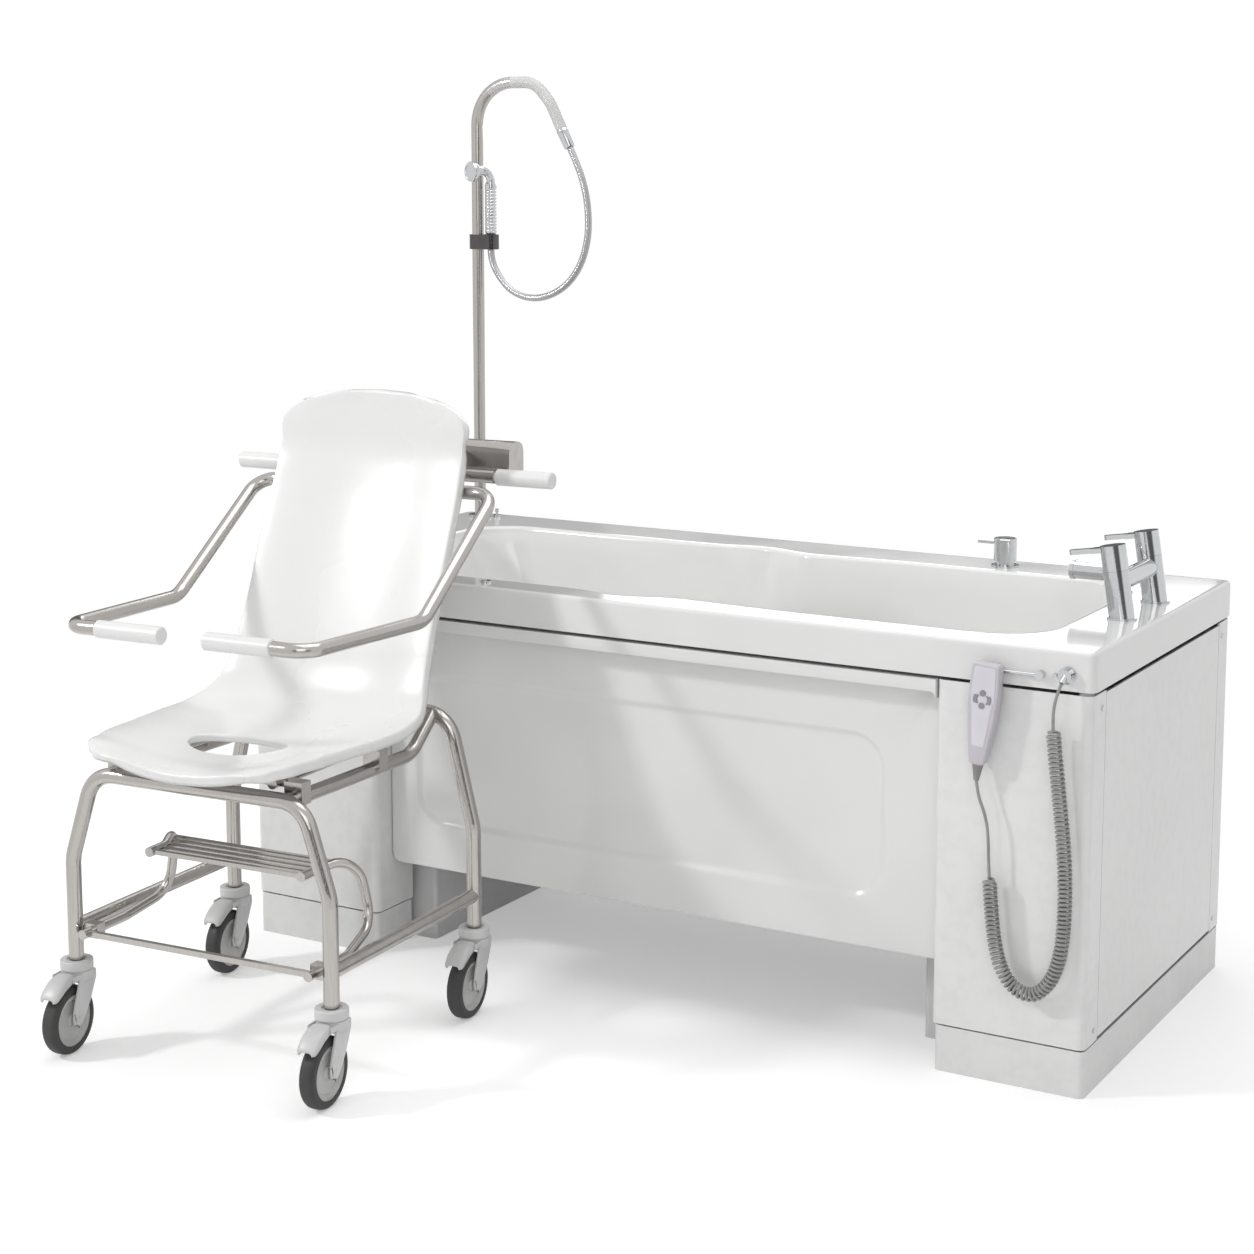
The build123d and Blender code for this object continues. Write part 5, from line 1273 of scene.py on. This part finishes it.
def ribbed_sleeve(name):
    """r = R - depth * (1 - |sin(pi s / pitch)|) along the last half of the bend and the run after it."""
    t = np.linspace(math.radians(52), math.pi / 2, 10)[:-1, None]
    bend = np.array([POLE_X + BEND_R, POLE_Y, BEND_Z]) + BEND_R * (np.sin(t) * (0, 0, 1) - np.cos(t) * (1, 0, 0))
    line = evenly(np.concatenate([bend, rounded_path(SLEEVE_CORNERS, [0.060, 0.120])]), RIB_PITCH / 5)
    walked = np.arange(len(line)) / 5
    r = SLEEVE_R - RIB_DEPTH * (1 - np.abs(np.sin(math.pi * walked)))
    r[:3], r[-3:] = 0.0131, 0.0122
    sleeve = grid_object(name + "_ribs", tube_grid(line, r, 28), closed_columns=True, caps=True)
    start, end = np.array(SLEEVE_CORNERS[-1]), np.array(CONNECTOR_END)
    way = (end - start) / np.linalg.norm(end - start)
    length = float(np.linalg.norm(end - start))
    tip = turned(
        name + "_tip",
        [(-0.001, 0.0), (-0.001, 0.0124), (0.001, 0.0134), (0.006, 0.0134), (0.0068, 0.0128), (0.0076, 0.0134),
         (length - 0.003, 0.0127), (length - 0.0006, 0.0117), (length - 0.0006, 0.0)],
        start, way, 40,
    )
    return sleeve, tip


sleeve, tip = ribbed_sleeve("pole_sleeve")
mounted(sleeve, "bath_lift", "ribbed_plastic", "pole_conduit")
mounted(tip, "bath_lift", "chrome_fittings")

# %% Hand shower
HAND_X, CLAMP_TOP, HAND_TOP = -0.794, 1.4293, 1.546
HEAD_FACING = np.array((-0.35, -0.94, 0.0))


def hand_shower(name):
    ribs = np.linspace(0, 1, 91)
    height = 0.010 + ribs * (HAND_TOP - CLAMP_TOP - 0.022)
    grooves = 0.0128 - 0.0011 * np.clip(np.sin(ribs * 2 * math.pi * 13), 0, 1) ** 2
    profile = [(0, 0.0), (0, 0.0108), (0.003, 0.0122), (0.008, 0.0130)]
    profile += list(zip(height, grooves))
    profile += [(HAND_TOP - CLAMP_TOP - 0.009, 0.0131), (HAND_TOP - CLAMP_TOP, 0.0112), (HAND_TOP - CLAMP_TOP + 0.001, 0.0)]
    handle = turned(name + "_handle", profile, (HAND_X, POLE_Y, CLAMP_TOP), sides=40)
    elbow = rounded_path(
        [(HAND_X, POLE_Y, HAND_TOP - 0.004), (HAND_X, POLE_Y, HAND_TOP + 0.026), (HAND_X - 0.022, POLE_Y - 0.034, HAND_TOP + 0.026)],
        0.022,
    )
    swell = 0.0092 + 0.0028 * np.linspace(0, 1, len(elbow)) ** 2
    neck = grid_object(name + "_neck", tube_grid(elbow, swell, 32), closed_columns=True, caps=True)
    face = [
        (-0.004, 0.0), (-0.004, 0.013), (0.000, 0.0205), (0.005, 0.0228), (0.0115, 0.0228), (0.0135, 0.0215),
        (0.0135, 0.0185), (0.0125, 0.0178), (0.0125, 0.0),
    ]
    head = turned(name + "_head", face, (HAND_X - 0.022, POLE_Y - 0.030, HAND_TOP + 0.024), HEAD_FACING, 48)
    tail = turned(
        name + "_tail", [(0, 0.0), (0, 0.0084), (0.001, 0.009), (0.033, 0.009), (0.034, 0.0)],
        (HAND_X, POLE_Y, 1.396), sides=32,
    )
    return crisp(joined(name, handle, neck, head, tail))


mounted(hand_shower("hand_shower_skin"), "shower_hand", "chrome_fittings", "hand_shower")
print("shower pieces", 3)

# %% [markdown]
# ## The handset
# The handset is a flat pistol-like box with a soft membrane on its front, a cap at the top and a
# grey ribbed boot where the cord goes in. Its housing is an outline with well rounded rims.

# %% Handset
HANDSET_TOP, HANDSET_LENGTH, HANDSET_HALF = np.array((0.720, -0.414, 0.753)), 0.178, 0.027
HANDSET_LEAN = math.radians(5.0)
ACROSS = np.array((math.cos(HANDSET_LEAN), 0, -math.sin(HANDSET_LEAN)))
UPWARDS = np.array((math.sin(HANDSET_LEAN), 0, math.cos(HANDSET_LEAN)))


def handset_outline(inwards, low, high=0.0):
    half = HANDSET_HALF - inwards
    right = [(half * 0.5, low), (half - 0.004, low + 0.066), (half, -0.058), (half - 0.0025, high)]
    corners = [*right, *[(-x, z) for x, z in reversed(right)]]
    return loop(corners, [0.006, 0.022, 0.016, 0.006, 0.006, 0.016, 0.022, 0.006], arc=9, run=2)


def handset_housing(name):
    body = plate(
        name + "_body", handset_outline(0.0, -HANDSET_LENGTH), HANDSET_TOP, ACROSS, UPWARDS, 0.024, edge=0.0035, steps=5,
    )
    hook = brick(name + "_hook", (0.708, -0.4155, 0.7415), (0.732, -0.4017, 0.7482), r=0.001, edge=0.0008)
    catch = brick(name + "_catch", (0.708, -0.4055, 0.7295), (0.732, -0.4017, 0.7482), r=0.001, edge=0.0008)
    return crisp(joined(name, body, hook, catch))


def cord_boot(name):
    """A tapered boot with seven grooves, so that the cord bends gently where it goes in."""
    s = np.linspace(0, 1, 71)
    groove = np.where((s > 0.15) & (s < 0.92), np.clip(np.sin((s - 0.15) / 0.77 * 2 * math.pi * 7), 0, 1) ** 2, 0)
    r = 0.0106 - 0.0058 * s - 0.0011 * groove
    start = HANDSET_TOP + (0, -0.012, 0) - UPWARDS * (HANDSET_LENGTH - 0.002)
    profile = [(0, 0.0), *zip(s * 0.0318, r), (0.0320, 0.0)]
    return turned(name, profile, start, -UPWARDS, 28)


mounted(handset_housing("handset_housing"), "handset", "handset_grey", "handset_body")
mounted(cord_boot("handset_cord_boot"), "handset", "cord_plastic")
print("handset pieces", 2)

# %% [markdown]
# ## Last finishes
# Every new piece, cord and hose gets its finish.

# %% Give the finishes
for obj, slot in PIECES:
    dress(obj, slot)
for obj in cords:
    dress(obj, "cord_plastic")
dress(shower_hose, "hose_plastic")
